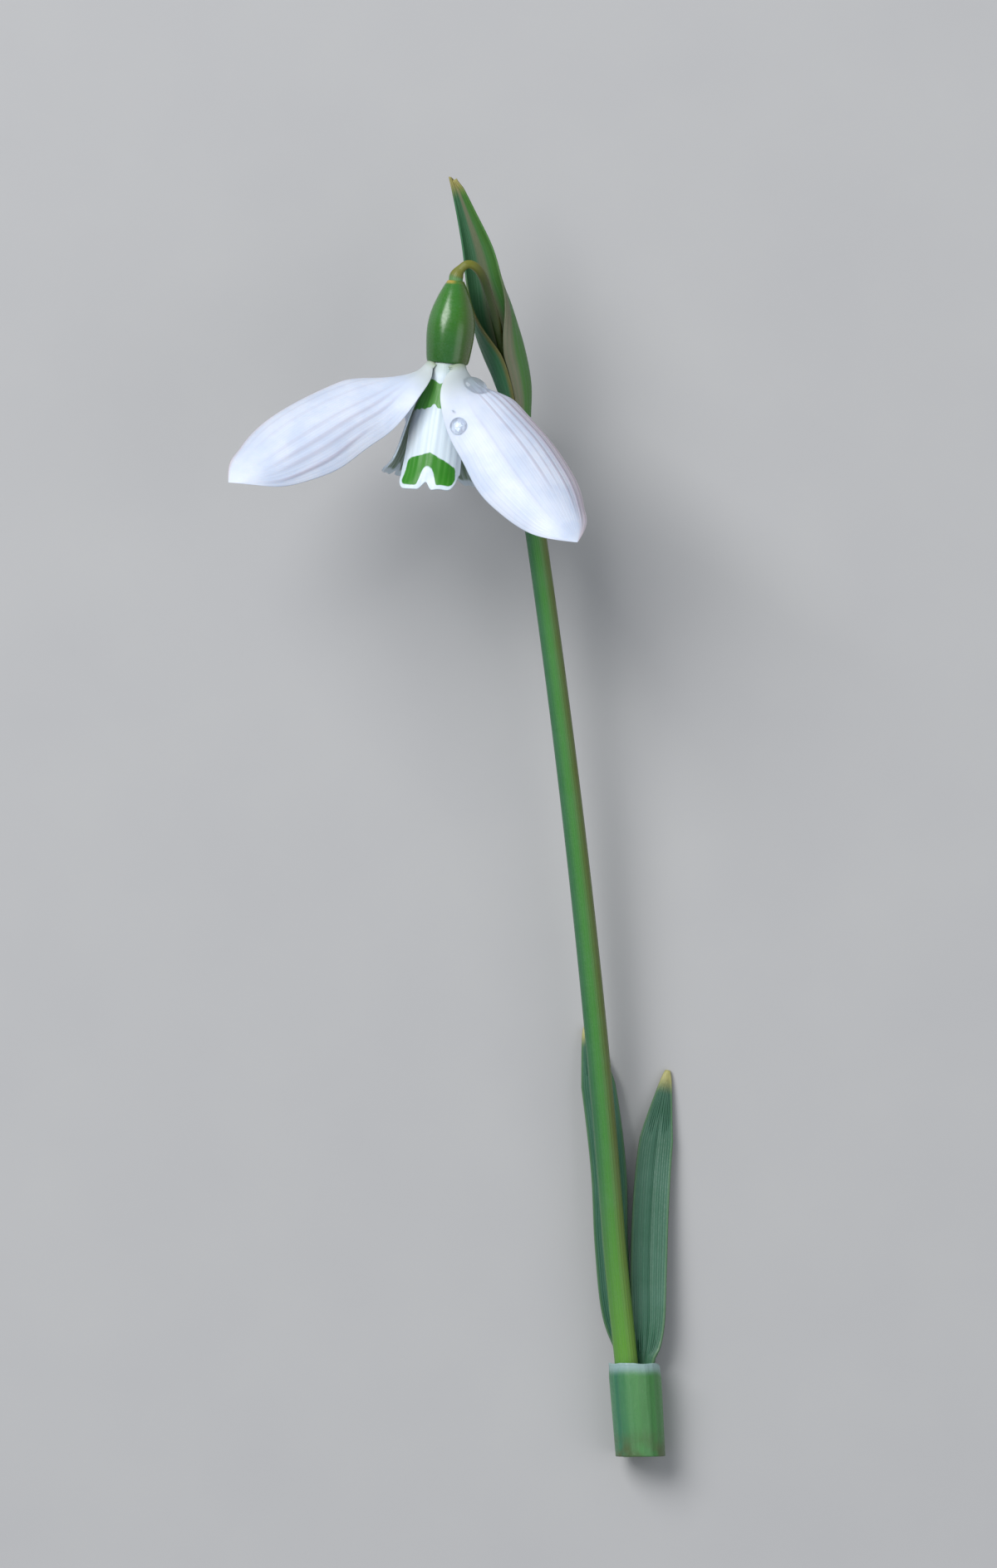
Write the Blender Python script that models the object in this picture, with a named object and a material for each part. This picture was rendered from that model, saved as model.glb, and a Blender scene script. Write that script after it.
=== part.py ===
"""A picked snowdrop flower, lying on its back on a table.

The shoot is cut at soil level, so its sheath still holds the flower stem and the two leaves.
The cut end faces -Y, the flower hangs from its arched stalk near +Y, and +Z is up.
The sheath, the tip of the right leaf and the rear petal touch the table.

Sizes are in millimetres in a plant frame: its origin is where the cut plane meets the table,
under the sheath. PLANT_ORIGIN then puts the middle of the whole flower's box over the origin.
"""

import math
from dataclasses import dataclass

import bmesh
import bpy
import numpy as np
from mathutils import Matrix, Vector

MM = 0.001
PLANT_ORIGIN = (20.244, -69.465, 0.0)
JOIN_GAP = 0.42  # between the mid surfaces or ends of pieces that grow out of each other
SPATHE_GAP = 0.5
STALK_GAP = 0.55

# Stem: x and z as polynomials of y, so that it leans, bows and rises towards the flower.
STEM_LENGTH = 113.0
STEM_LEAN = (-1.0, -0.055, -0.00045)
STEM_FOOT_SHIFT = 0.65  # sideways, into the middle of the sheath
STEM_FOOT_LENGTH = 25.0
STEM_RISE = (3.4, 0.036, 0.00043)
STEM_RADIUS_CUT = 1.12
STEM_RADIUS_TOP = 1.17
STEM_POINTS = 30

# Sheath: a flattened tube round the foot of the stem and of the leaves.
SHEATH_LENGTH = 10.2
SHEATH_WALL = 0.35
SHEATH_CUT = (0.35, 2.55, 2.70)  # middle in x, half width, half depth of the wall's mid surface
SHEATH_MOUTH = (-0.35, 2.72, 2.85)

# Leaves: the middle of the strap, its half width, half the arc across it and the turn of its face.
LEAVES = {
    "leaf_rear": (
        (0.2, 0.0, 1.05, 1.10, 45, 0),
        (-0.2, 5.0, 1.10, 1.30, 45, 0),
        (-0.45, 10.2, 1.15, 1.50, 48, 0),
        (-2.1, 15.5, 1.25, 1.75, 30, 0),
        (-2.8, 23.0, 1.15, 1.85, 22, 0),
        (-3.1, 31.0, 0.95, 1.95, 20, 0),
        (-4.1, 39.5, 0.70, 1.90, 18, 0),
        (-5.5, 46.8, 0.40, 1.60, 12, 0),
    ),
    "leaf_right": (
        (1.55, 0.0, 2.65, 0.75, 20, 37),
        (1.30, 5.0, 2.65, 0.90, 24, 34),
        (0.90, 10.2, 2.65, 1.05, 30, 24),
        (1.20, 14.0, 2.60, 1.75, 22, 6),
        (1.25, 20.0, 2.20, 2.00, 20, 0),
        (1.50, 27.5, 1.50, 2.00, 20, 0),
        (2.10, 34.5, 0.85, 1.85, 16, 0),
        (3.35, 42.0, 0.32, 1.40, 8, 0),
    ),
}

# Flower axis: from the top of the ovary down to the mouth of the inner petals.
OVARY_TOP = Vector((-19.7, 127.7, 20.55))
AXIS_LEAN = math.radians(6.0)
AXIS = Vector((-math.sin(AXIS_LEAN), -math.cos(AXIS_LEAN), 0.0))
ACROSS = Vector((math.cos(AXIS_LEAN), -math.sin(AXIS_LEAN), 0.0))
UP = Vector((0.0, 0.0, 1.0))

# Ovary: an olive, cut flat at both ends.
OVARY_LENGTH = 9.0
OVARY_RADIUS = 2.56
OVARY_WIDEST_AT = 5.2
OVARY_REACH = 5.6
OVARY_ROUNDNESS = 2.3

PETAL_WALL = 0.4
INNER_WALL = 0.34
SPATHE_WALL = 0.36
LEAF_WALL = 0.6

COLOURS = {
    "petal_white": ((0.86, 0.88, 0.90), 0.45),
    "inner_petal": ((0.80, 0.86, 0.78), 0.45),
    "ovary_green": ((0.07, 0.24, 0.03), 0.28),
    "stem_green": ((0.12, 0.30, 0.08), 0.45),
    "stalk_green": ((0.20, 0.32, 0.06), 0.42),
    "spathe_green": ((0.14, 0.28, 0.12), 0.50),
    "leaf_green": ((0.06, 0.21, 0.13), 0.50),
    "sheath_pale": ((0.08, 0.22, 0.09), 0.50),
    "anther_orange": ((0.85, 0.48, 0.10), 0.60),
    "style_cream": ((0.78, 0.84, 0.62), 0.50),
}


@dataclass(frozen=True)
class Petal:
    """One petal. Angles are in degrees, sizes in millimetres, and places along it run from 0 to 1."""

    azimuth: float  # round the flower axis: 0 is across, 90 is up, away from the table
    length: float
    claw_radius: float  # where its foot stands, from the flower axis
    opening: tuple  # away from the axis: at the foot, at the shoulder and at the tip
    shoulder: float  # where the foot has bent into the blade
    roll: float  # turn of the blade about its own length
    rolled_by: float  # where that turn is complete
    half_width: float
    fullness: tuple  # of each side, under 1 where the width comes early
    tip_power: float
    claw_half_width: float
    cup: float  # half the arc that the blade's cross-section makes
    bend: float  # sideways


OUTER_PETALS = {
    "outer_petal_left": Petal(159.0, 26.8, 1.95, (48, 65, 46), 0.12, 41, 0.33, 6.24, (0.84, 0.80), 0.62, 1.02, 56, -3),
    "outer_petal_right": Petal(36.8, 24.5, 2.05, (27, 52.5, 38), 0.14, -38, 0.22, 6.35, (0.78, 0.68), 0.64, 1.04, 58, -5.2),
    "outer_petal_rear": Petal(274.0, 22.68, 1.95, (48, 87, 30), 0.16, 0, 0.30, 5.80, (0.85, 0.85), 0.60, 1.04, 54, 0),
}
INNER_PETALS = {
    "inner_petal_front": Petal(102.0, 13.6, 1.25, (20, 9, 22), 0.70, 0, 0.30, 3.70, (1, 1), 1.0, 0.95, 68, 0),
    "inner_petal_left": Petal(211.0, 12.9, 1.2, (19, 14, 32), 0.70, 0, 0.30, 3.75, (1, 1), 1.0, 0.82, 40, 0),
    "inner_petal_right": Petal(337.0, 13.2, 1.25, (20, 12, 24), 0.70, 0, 0.30, 3.75, (1, 1), 1.0, 0.95, 56, 0),
}
NOTCH_DEPTH = 0.09  # of an inner petal's tip, as a share of its length
NOTCH_HALF_WIDTH = 0.28
TIP_CORNER = 0.14

STAMEN_COUNT = 6
STAMEN_TURN = math.radians(37)
# Distance from the axis, distance below the ovary and thickness, from the foot to the tip.
STAMEN_STATIONS = (
    (0.66, 0.3, 0.14),
    (0.72, 1.2, 0.14),
    (0.95, 2.1, 0.30),
    (1.20, 3.4, 0.42),
    (1.16, 5.0, 0.41),
    (0.88, 6.7, 0.26),
    (0.66, 7.6, 0.08),
)
STYLE_LENGTH = 9.6
STYLE_RADIUS = 0.2


def smooth(start, end, value):
    """A rise from 0 at start to 1 at end, level at both."""
    share = np.clip((value - start) / (end - start), 0.0, 1.0)
    return share * share * (3 - 2 * share)


def clear_scene():
    for old in list(bpy.data.objects):
        bpy.data.objects.remove(old, do_unlink=True)


def material(name):
    """The named finish, made on first use."""
    found = bpy.data.materials.get(name)
    if found:
        return found
    colour, roughness = COLOURS[name]
    made = bpy.data.materials.new(name)
    made.use_nodes = True
    shader = made.node_tree.nodes["Principled BSDF"]
    shader.inputs["Base Color"].default_value = (*colour, 1.0)
    shader.inputs["Roughness"].default_value = roughness
    shader.inputs["Metallic"].default_value = 0.0
    return made


def place(obj, plant, finish):
    """Links the object, dresses it and hangs it on the plant's empty."""
    bpy.context.scene.collection.objects.link(obj)
    obj.data.materials.append(material(finish))
    obj.parent = plant
    return obj


def surface_object(name, points, wall, plant, finish, closed=False):
    """A grid of points in millimetres, thickened to a wall, its mid surface on the grid."""
    rows, columns = points.shape[:2]
    mesh = bpy.data.meshes.new(name)
    bm = bmesh.new()
    bmesh.ops.create_grid(bm, x_segments=columns - 1, y_segments=rows - 1, size=1.0)
    bm.verts.ensure_lookup_table()
    for vertex, point in zip(bm.verts, points.reshape(-1, 3)):
        vertex.co = Vector(point) * MM
    if closed:
        bmesh.ops.remove_doubles(bm, verts=bm.verts, dist=0.01 * MM)
    bmesh.ops.recalc_face_normals(bm, faces=bm.faces)
    bm.to_mesh(mesh)
    bm.free()
    mesh.shade_smooth()
    obj = place(bpy.data.objects.new(name, mesh), plant, finish)
    shell = obj.modifiers.new("wall", "SOLIDIFY")
    shell.thickness = wall * MM
    shell.offset = 0.0
    return obj


def stalk_object(name, points, radii, plant, finish, sides_resolution=3):
    """A round stalk of varying thickness through points in millimetres, with flat ends."""
    curve = bpy.data.curves.new(name, "CURVE")
    curve.dimensions = "3D"
    curve.bevel_depth = MM
    curve.bevel_resolution = sides_resolution
    curve.use_fill_caps = True
    spline = curve.splines.new("POLY")
    spline.points.add(len(points) - 1)
    for spot, point, radius in zip(spline.points, points, radii):
        spot.co = (*(Vector(point) * MM), 1.0)
        spot.radius = radius
    return place(bpy.data.objects.new(name, curve), plant, finish)


def smooth_route(stations, count):
    """Points at even steps on a Catmull-Rom curve through the stations."""
    given = np.array(stations, float)
    ends = np.vstack([2 * given[0] - given[1], given, 2 * given[-1] - given[-2]])
    where = np.linspace(0, len(given) - 1, count)
    first = np.minimum(where.astype(int), len(given) - 2)
    t = (where - first)[:, None]
    p0, p1, p2, p3 = (ends[first + k] for k in range(4))
    return 0.5 * (
        2 * p1 + (p2 - p0) * t + (2 * p0 - 5 * p1 + 4 * p2 - p3) * t**2 + (3 * p1 - p0 - 3 * p2 + p3) * t**3
    )


def stem_middle(y):
    """The middle of the stem, this far from the cut end."""
    x = STEM_LEAN[0] + STEM_LEAN[1] * y + STEM_LEAN[2] * y**2
    x = x + STEM_FOOT_SHIFT * (1 - smooth(0, STEM_FOOT_LENGTH, y))
    z = STEM_RISE[0] + STEM_RISE[1] * y + STEM_RISE[2] * y**2
    return np.stack([x, y, z], axis=-1)


def trough(route, half_width, half_arc, facing, columns):
    """A strip of the given half widths along a route, each cross-section an arc curled round towards facing."""
    along = np.gradient(route, axis=0)
    along /= np.linalg.norm(along, axis=1)[:, None]
    towards = facing - np.sum(along * facing, axis=1)[:, None] * along
    towards /= np.linalg.norm(towards, axis=1)[:, None]
    sideways = np.cross(along, towards)
    radius = (half_width / half_arc)[:, None, None]
    turn = (half_arc[:, None] * np.linspace(-1, 1, columns)[None, :])[..., None]
    return (
        route[:, None, :]
        + sideways[:, None, :] * radius * np.sin(turn)
        + towards[:, None, :] * radius * (1 - np.cos(turn))
    )


def petal_surface(petal, rows, columns, end_share=None):
    """A petal's mid surface: a midrib that opens away from the axis, with a cupped arc across it.

    end_share gives, for places across from -1 to 1, where the petal ends along its length.
    """
    axis, across, up = (np.array(v) for v in (AXIS, ACROSS, UP))
    turn = math.radians(petal.azimuth)
    radial = math.cos(turn) * across + math.sin(turn) * up
    round_axis = np.cross(axis, radial)
    fine = 121
    share = np.linspace(0, 1, fine)
    start, shoulder, tip = petal.opening
    opening = np.radians(
        start
        + (shoulder - start) * smooth(0, petal.shoulder, share)
        - (shoulder - tip) * smooth(petal.shoulder * 0.9, 1, share)
    )[:, None]
    bend = np.radians(petal.bend * smooth(0.1, 1, share))[:, None]
    along = (np.cos(opening) * axis + np.sin(opening) * radial) * np.cos(bend) + np.sin(bend) * round_axis
    steps = (along[1:] + along[:-1]) / 2 * petal.length / (fine - 1)
    foot = np.array(OVARY_TOP) + axis * (OVARY_LENGTH + JOIN_GAP) + radial * petal.claw_radius
    midrib = foot + np.vstack([np.zeros(3), np.cumsum(steps, axis=0)])
    outward = -np.sin(opening) * axis + np.cos(opening) * radial
    sideways = np.cross(along, outward)
    sideways /= np.linalg.norm(sideways, axis=1)[:, None]
    outward = np.cross(sideways, along)
    roll = np.radians(petal.roll * smooth(0, petal.rolled_by, share))[:, None]
    side = sideways * np.cos(roll) + outward * np.sin(roll)
    face = -sideways * np.sin(roll) + outward * np.cos(roll)

    s = np.linspace(0, 1, rows)[:, None] * np.ones(columns)
    t = np.linspace(-1, 1, columns)[None, :] * np.ones((rows, 1))
    if end_share is not None:
        s = s * end_share(t)
    half = np.where(t < 0, petal_half_width(petal, s, 0), petal_half_width(petal, s, 1))
    arc = np.radians(petal.cup) * (0.75 + 0.25 * smooth(0.05, 0.5, s)) * (1 - 0.6 * smooth(0.82, 1.0, s))
    radius = (half / arc)[..., None]
    angle = (arc * t)[..., None]

    def along_midrib(vectors):
        return np.stack([np.interp(s, share, vectors[:, k]) for k in range(3)], axis=-1)

    return (
        along_midrib(midrib)
        + along_midrib(side) * radius * np.sin(angle)
        - along_midrib(face) * radius * (1 - np.cos(angle))
    )


def petal_half_width(petal, s, side):
    """Half of a petal's flat width on one side: a narrow claw, then a rounded blade."""
    power, tip = petal.fullness[side], petal.tip_power
    if petal in INNER_PETALS.values():
        return petal.claw_half_width + (petal.half_width - petal.claw_half_width) * smooth(-0.1, 0.95, s)
    u = np.clip((s - 0.02) / 0.98, 0, 1)
    widest = power / (power + tip)
    blade = u**power * (1 - u) ** tip / (widest**power * (1 - widest) ** tip)
    blunt_tip = 0.25 * smooth(0.8, 1.0, s)
    return petal.claw_half_width * (1 - smooth(0, 0.45, s)) + petal.half_width * blade + blunt_tip


def notched_end(t):
    """Where an inner petal ends: two round lobes with a notch between them."""
    notch = NOTCH_DEPTH * (1 - smooth(0.0, NOTCH_HALF_WIDTH, np.abs(t)))
    corner = TIP_CORNER * smooth(0.55, 1.0, np.abs(t)) ** 2
    return 1 - notch - corner


def build_stem(plant):
    y = np.linspace(0, STEM_LENGTH, STEM_POINTS)
    radii = STEM_RADIUS_CUT + (STEM_RADIUS_TOP - STEM_RADIUS_CUT) * y / STEM_LENGTH
    stalk_object("flower_stem", stem_middle(y), radii, plant, "stem_green")


def build_sheath(plant):
    rows, columns = 7, 33
    share = np.linspace(0, 1, rows)[:, None]
    turn = np.linspace(0, 2 * math.pi, columns)[None, :]
    middle, wide, deep = (a + (b - a) * share for a, b in zip(SHEATH_CUT, SHEATH_MOUTH))
    lift = deep + SHEATH_WALL / 2
    points = np.stack(
        [middle + wide * np.cos(turn), SHEATH_LENGTH * share + 0 * turn, lift + deep * np.sin(turn)], axis=-1
    )
    surface_object("sheath", points, SHEATH_WALL, plant, "sheath_pale", closed=True)


def build_leaf(name, stations, plant):
    """A strap leaf. Each station is its middle, half width, half arc and the turn of its face, in degrees."""
    rows, columns = 22, 9
    spots = smooth_route(stations, rows)
    share = np.linspace(0, 1, rows)
    round_tip = np.sqrt(np.clip((1.03 - share) / 0.13, 0.06, 1))
    half_width, half_arc, turn = spots[:, 3] * round_tip, np.radians(spots[:, 4]), np.radians(spots[:, 5])
    facing = np.stack([-np.sin(turn), 0 * turn, np.cos(turn)], axis=-1)
    points = trough(spots[:, :3], half_width, half_arc, facing, columns)
    surface_object(name, points, LEAF_WALL, plant, "leaf_green")


def build_spathe(plant):
    """The sheath round the bud stalk: nearly a tube at its foot, then an open trough up to a point."""
    rows, columns = 24, 19
    # The middle of its back, the radius of its curl and half the arc it makes, in degrees.
    stations = (
        (-12.95, STEM_LENGTH + SPATHE_GAP, 11.8, 1.27, 154),
        (-13.6, 115.9, 11.65, 1.70, 154),
        (-14.2, 118.6, 11.85, 1.97, 148),
        (-15.1, 122.1, 12.4, 1.95, 122),
        (-16.4, 127.1, 13.5, 1.74, 98),
        (-17.5, 131.1, 14.5, 1.40, 84),
        (-18.7, 135.2, 15.6, 0.90, 66),
        (-20.0, 138.9, 16.6, 0.38, 45),
    )
    spots = smooth_route(stations, rows)
    half_arc = np.radians(spots[:, 4])
    points = trough(spots[:, :3], spots[:, 3] * half_arc, half_arc, np.array([-0.12, 0.0, 1.0]), columns)
    surface_object("spathe", points, SPATHE_WALL, plant, "spathe_green")


def build_flower_stalk(plant):
    """The thin arched stalk that the flower hangs from."""
    start = stem_middle(np.array(STEM_LENGTH)) + (0, SPATHE_GAP, 0.05)
    end = OVARY_TOP - AXIS * STALK_GAP
    stations = (
        tuple(start),
        (-13.6, 116.4, 13.55),
        (-14.4, 119.3, 14.3),
        (-15.2, 122.6, 15.9),
        (-16.0, 125.6, 17.8),
        (-16.75, 128.0, 19.4),
        (-17.55, 129.15, 20.3),
        (-18.45, 129.45, 20.65),
        (-19.25, 128.85, 20.6),
        tuple(end),
    )
    count = 33
    share = np.linspace(0, 1, count)
    radii = 0.5 + 0.26 * smooth(0.84, 1.0, share)
    stalk_object("flower_stalk", smooth_route(stations, count), radii, plant, "stalk_green")


def ovary_radius(depth):
    """Radius of the olive this far below its top."""
    reach = np.abs(depth - OVARY_WIDEST_AT) / OVARY_REACH
    return OVARY_RADIUS * (1 - reach**OVARY_ROUNDNESS) ** (1 / OVARY_ROUNDNESS)


def build_ovary(plant):
    stations, sides = 15, 20
    bm = bmesh.new()
    depth = np.linspace(0, OVARY_LENGTH, stations)
    outline = [bm.verts.new((r * MM, 0, -d * MM)) for d, r in zip(depth, ovary_radius(depth))]
    edges = [bm.edges.new(pair) for pair in zip(outline, outline[1:])]
    bmesh.ops.spin(
        bm, geom=outline + edges, axis=(0, 0, 1), cent=(0, 0, 0), steps=sides, angle=2 * math.pi, use_duplicate=False
    )
    bmesh.ops.remove_doubles(bm, verts=bm.verts, dist=0.01 * MM)
    bmesh.ops.holes_fill(bm, edges=bm.edges, sides=0)
    bmesh.ops.recalc_face_normals(bm, faces=bm.faces)
    mesh = bpy.data.meshes.new("ovary")
    bm.to_mesh(mesh)
    bm.free()
    mesh.shade_smooth()
    mesh.set_sharp_from_angle(angle=math.radians(50))
    obj = place(bpy.data.objects.new("ovary", mesh), plant, "ovary_green")
    obj.location = OVARY_TOP * MM
    obj.rotation_mode = "QUATERNION"
    obj.rotation_quaternion = (-AXIS).to_track_quat("Z", "Y")


def build_petals(plant):
    for name, petal in OUTER_PETALS.items():
        surface_object(name, petal_surface(petal, 19, 11), PETAL_WALL, plant, "petal_white")
    for name, petal in INNER_PETALS.items():
        surface_object(name, petal_surface(petal, 12, 13, notched_end), INNER_WALL, plant, "inner_petal")


def build_stamens_and_style(plant):
    below_ovary = OVARY_TOP + AXIS * OVARY_LENGTH
    for number in range(STAMEN_COUNT):
        turn = STAMEN_TURN + number * 2 * math.pi / STAMEN_COUNT
        radial = math.cos(turn) * ACROSS + math.sin(turn) * UP
        points = [below_ovary + radial * out + AXIS * down for out, down, _ in STAMEN_STATIONS]
        radii = [thick for _, _, thick in STAMEN_STATIONS]
        stalk_object(f"stamen_{number + 1}", points, radii, plant, "anther_orange", sides_resolution=2)
    ends = [below_ovary + AXIS * JOIN_GAP, below_ovary + AXIS * STYLE_LENGTH]
    stalk_object("style", ends, [STYLE_RADIUS, STYLE_RADIUS * 0.7], plant, "style_cream", sides_resolution=2)


def main():
    clear_scene()
    plant = bpy.data.objects.new("plant", None)
    bpy.context.scene.collection.objects.link(plant)
    plant.matrix_world = Matrix.Translation(Vector(PLANT_ORIGIN) * MM)
    build_stem(plant)
    build_sheath(plant)
    for name, stations in LEAVES.items():
        build_leaf(name, stations, plant)
    build_spathe(plant)
    build_flower_stalk(plant)
    build_ovary(plant)
    build_petals(plant)
    build_stamens_and_style(plant)


main()
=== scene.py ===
"""A picked snowdrop flower, lying on its back on a pale table and seen from straight above.

Every living piece is a surface worked out with numpy: a grid over two shares, one along the piece
and one across it. Sizes are in millimetres in the plant's own frame, whose origin is under the
sheath's cut end, with +Y towards the flower and +Z up from the table.
"""

import logging
import math
from dataclasses import dataclass
from enum import Enum
from typing import NamedTuple, Sequence

import bpy
import numpy as np
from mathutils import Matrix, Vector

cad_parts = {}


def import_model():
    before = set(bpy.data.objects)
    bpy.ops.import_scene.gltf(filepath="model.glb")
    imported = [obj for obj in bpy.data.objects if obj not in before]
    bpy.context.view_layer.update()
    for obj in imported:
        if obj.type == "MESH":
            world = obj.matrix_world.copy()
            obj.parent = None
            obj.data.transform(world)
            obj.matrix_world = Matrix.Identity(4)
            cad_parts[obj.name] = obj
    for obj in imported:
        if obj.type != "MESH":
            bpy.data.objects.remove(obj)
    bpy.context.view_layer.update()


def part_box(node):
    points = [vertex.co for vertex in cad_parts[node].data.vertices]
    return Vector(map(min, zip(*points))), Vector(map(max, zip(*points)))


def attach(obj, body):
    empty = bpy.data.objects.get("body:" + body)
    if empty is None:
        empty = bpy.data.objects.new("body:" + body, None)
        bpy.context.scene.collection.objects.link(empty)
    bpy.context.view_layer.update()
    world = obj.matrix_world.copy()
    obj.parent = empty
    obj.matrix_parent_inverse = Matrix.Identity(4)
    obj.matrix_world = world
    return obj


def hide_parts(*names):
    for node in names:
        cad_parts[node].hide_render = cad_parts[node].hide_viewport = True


Array = np.ndarray
Socket = bpy.types.NodeSocket
Colour = tuple[float, float, float]

LOG = logging.getLogger("snowdrop")
MM = 0.001
BODY = "root"
SHEATH_LEFT_REACH = 3.24  # from the plant's origin to the sheath's leftmost point

AXIS_LEAN = math.radians(6.0)
AXIS = np.array([-math.sin(AXIS_LEAN), -math.cos(AXIS_LEAN), 0.0])
ACROSS = np.array([math.cos(AXIS_LEAN), -math.sin(AXIS_LEAN), 0.0])
UP = np.array([0.0, 0.0, 1.0])
OVARY_TOP = np.array([-19.7, 127.7, 20.55])
OVARY_LENGTH = 9.0
PETAL_DROP = 0.42  # from the ovary's lower end to the petals' feet
STEM_LENGTH = 113.0


# ---------------------------------------------------------------- shapes


def smooth(start: float, end: float, value: Array) -> Array:
    """A rise from 0 at start to 1 at end, level at both: three squares less two cubes of the share.

    Args:
        start: where the rise begins.
        end: where it is complete.
        value: numbers to place on the rise.

    Returns:
        One number from 0 to 1 for each value.
    """
    share = np.clip((np.asarray(value) - start) / (end - start), 0.0, 1.0)
    return share * share * (3 - 2 * share)


def bell(value: Array, middle: float, width: float) -> Array:
    """A bell curve of height 1: e to the minus square of the distance over the width."""
    return np.exp(-(((value - middle) / width) ** 2))


def unit(vectors: Array) -> Array:
    """The vectors, each divided by its own length."""
    return vectors / np.linalg.norm(vectors, axis=-1, keepdims=True)


def smooth_route(stations: Sequence[Sequence[float]], count: int) -> Array:
    """Even steps along a Catmull-Rom curve, a cubic that passes through every station.

    Args:
        stations: rows of numbers to pass through.
        count: how many rows to return.

    Returns:
        The rows along the curve, with the stations' own first and last row at its ends.
    """
    given = np.array(stations, float)
    ends = np.vstack([2 * given[0] - given[1], given, 2 * given[-1] - given[-2]])
    where = np.linspace(0, len(given) - 1, count)
    first = np.minimum(where.astype(int), len(given) - 2)
    t = (where - first)[:, None]
    p0, p1, p2, p3 = (ends[first + k] for k in range(4))
    square = 2 * p0 - 5 * p1 + 4 * p2 - p3
    cube = 3 * p1 - p0 - 3 * p2 + p3
    return 0.5 * (2 * p1 + (p2 - p0) * t + square * t**2 + cube * t**3)


def grid_normals(points: Array, wrap: bool) -> Array:
    """Unit normals of a grid of points: the slope along crossed with the slope across.

    Args:
        points: the grid, rows by columns by three.
        wrap: whether the last column meets the first.

    Returns:
        A grid of unit vectors.
    """
    along = np.gradient(points, axis=0)
    padded = np.concatenate([points[:, -1:], points, points[:, :1]], axis=1) if wrap else points
    across = np.gradient(padded, axis=1)
    return unit(np.cross(along, across[:, 1:-1] if wrap else across))


def grid_faces(rows: int, columns: int, wrap: bool) -> Array:
    """Corner numbers of every four-sided face of a grid whose points are numbered row by row."""
    row = np.arange(rows - 1)[:, None]
    column = np.arange(columns if wrap else columns - 1)[None, :]
    beside = (column + 1) % columns
    corners = [row * columns + column, row * columns + beside]
    corners += [(row + 1) * columns + beside, (row + 1) * columns + column]
    return np.stack(np.broadcast_arrays(*corners), axis=-1).reshape(-1, 4)


class Solid(NamedTuple):
    """A closed piece before it becomes a mesh: points in millimetres, faces, and numbers at the points."""

    points: Array
    faces: list[Array]
    fields: dict[str, Array]


def shell(middle: Array, thickness: Array, fields: dict[str, Array], wrap: bool = False) -> Solid:
    """A thin wall: the middle surface moved half its thickness to each side and joined round the edge.

    Args:
        middle: grid of points on the wall's middle surface.
        thickness: the wall's thickness at each point.
        fields: grids of numbers to keep at the points, for both skins.
        wrap: whether the last column meets the first, which leaves two rims and no sides.

    Returns:
        The closed wall. Its "face" field is 1 on the skin that the normals point to and -1 on the other.
    """
    rows, columns = middle.shape[:2]
    count = rows * columns
    offset = grid_normals(middle, wrap) * (thickness / 2)[..., None]
    points = np.concatenate([(middle + offset).reshape(-1, 3), (middle - offset).reshape(-1, 3)])
    number = np.arange(count).reshape(rows, columns)
    if wrap:
        loops = [np.append(number[0], number[0, 0]), np.append(number[-1], number[-1, 0])[::-1]]
    else:
        loops = [np.concatenate([number[0], number[1:, -1], number[-1, -2::-1], number[-2::-1, 0]])]
    rims = [np.stack([ring[1:], ring[:-1], ring[:-1] + count, ring[1:] + count], axis=-1) for ring in loops]
    skin = grid_faces(rows, columns, wrap)
    kept = {name: np.tile(grid.reshape(-1), 2) for name, grid in fields.items()}
    kept["face"] = np.repeat([1.0, -1.0], count)
    return Solid(points, [skin, skin[:, ::-1] + count, *rims], kept)


def lathe(rings: Array, fields: dict[str, Array]) -> Solid:
    """A solid stalk or bead: rings of points joined in order, with a fan of triangles over each end.

    Args:
        rings: grid of points, one ring to a row.
        fields: grids of numbers to keep at the points.

    Returns:
        The closed solid.
    """
    rows, columns = rings.shape[:2]
    count = rows * columns
    ends = np.stack([rings[0].mean(axis=0), rings[-1].mean(axis=0)])
    ring = np.arange(columns)
    beside = (ring + 1) % columns
    last = (rows - 1) * columns
    first_fan = np.stack([beside, ring, np.full(columns, count)], axis=-1)
    last_fan = np.stack([ring + last, beside + last, np.full(columns, count + 1)], axis=-1)
    kept = {
        name: np.concatenate([grid.reshape(-1), [grid[0].mean(), grid[-1].mean()]])
        for name, grid in fields.items()
    }
    points = np.concatenate([rings.reshape(-1, 3), ends])
    return Solid(points, [grid_faces(rows, columns, True), first_fan, last_fan], kept)


def stalk(route: Array, radii: Array, sides: int, reference: Array = UP, lobes: Array | None = None) -> Solid:
    """A round stalk: at each point of the route, a circle square to it, of the given radius.

    Args:
        route: the middle of the stalk.
        radii: its radius at each point of the route.
        sides: points in each ring.
        reference: a direction that the route never runs along; the rings start a quarter turn before it.
        lobes: factors on the radius, as a grid of route points by ring points.

    Returns:
        The closed stalk, with cosine and sine of the turn and the share along it as fields.
    """
    along = unit(np.gradient(route, axis=0))
    up = unit(reference - (along @ reference)[:, None] * along)
    side = np.cross(along, up)
    turn = np.linspace(0, 2 * math.pi, sides, endpoint=False)
    reach = radii[:, None] * (np.ones((len(route), sides)) if lobes is None else lobes)
    rings = (
        route[:, None, :]
        + side[:, None, :] * (reach * np.cos(turn))[..., None]
        + up[:, None, :] * (reach * np.sin(turn))[..., None]
    )
    share = np.linspace(0, 1, len(route))[:, None] * np.ones(sides)
    fields = {"across": np.cos(turn) * np.ones((len(route), 1)), "along": share}
    fields["lift"] = np.sin(turn) * np.ones((len(route), 1))
    return lathe(rings, fields)


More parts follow.
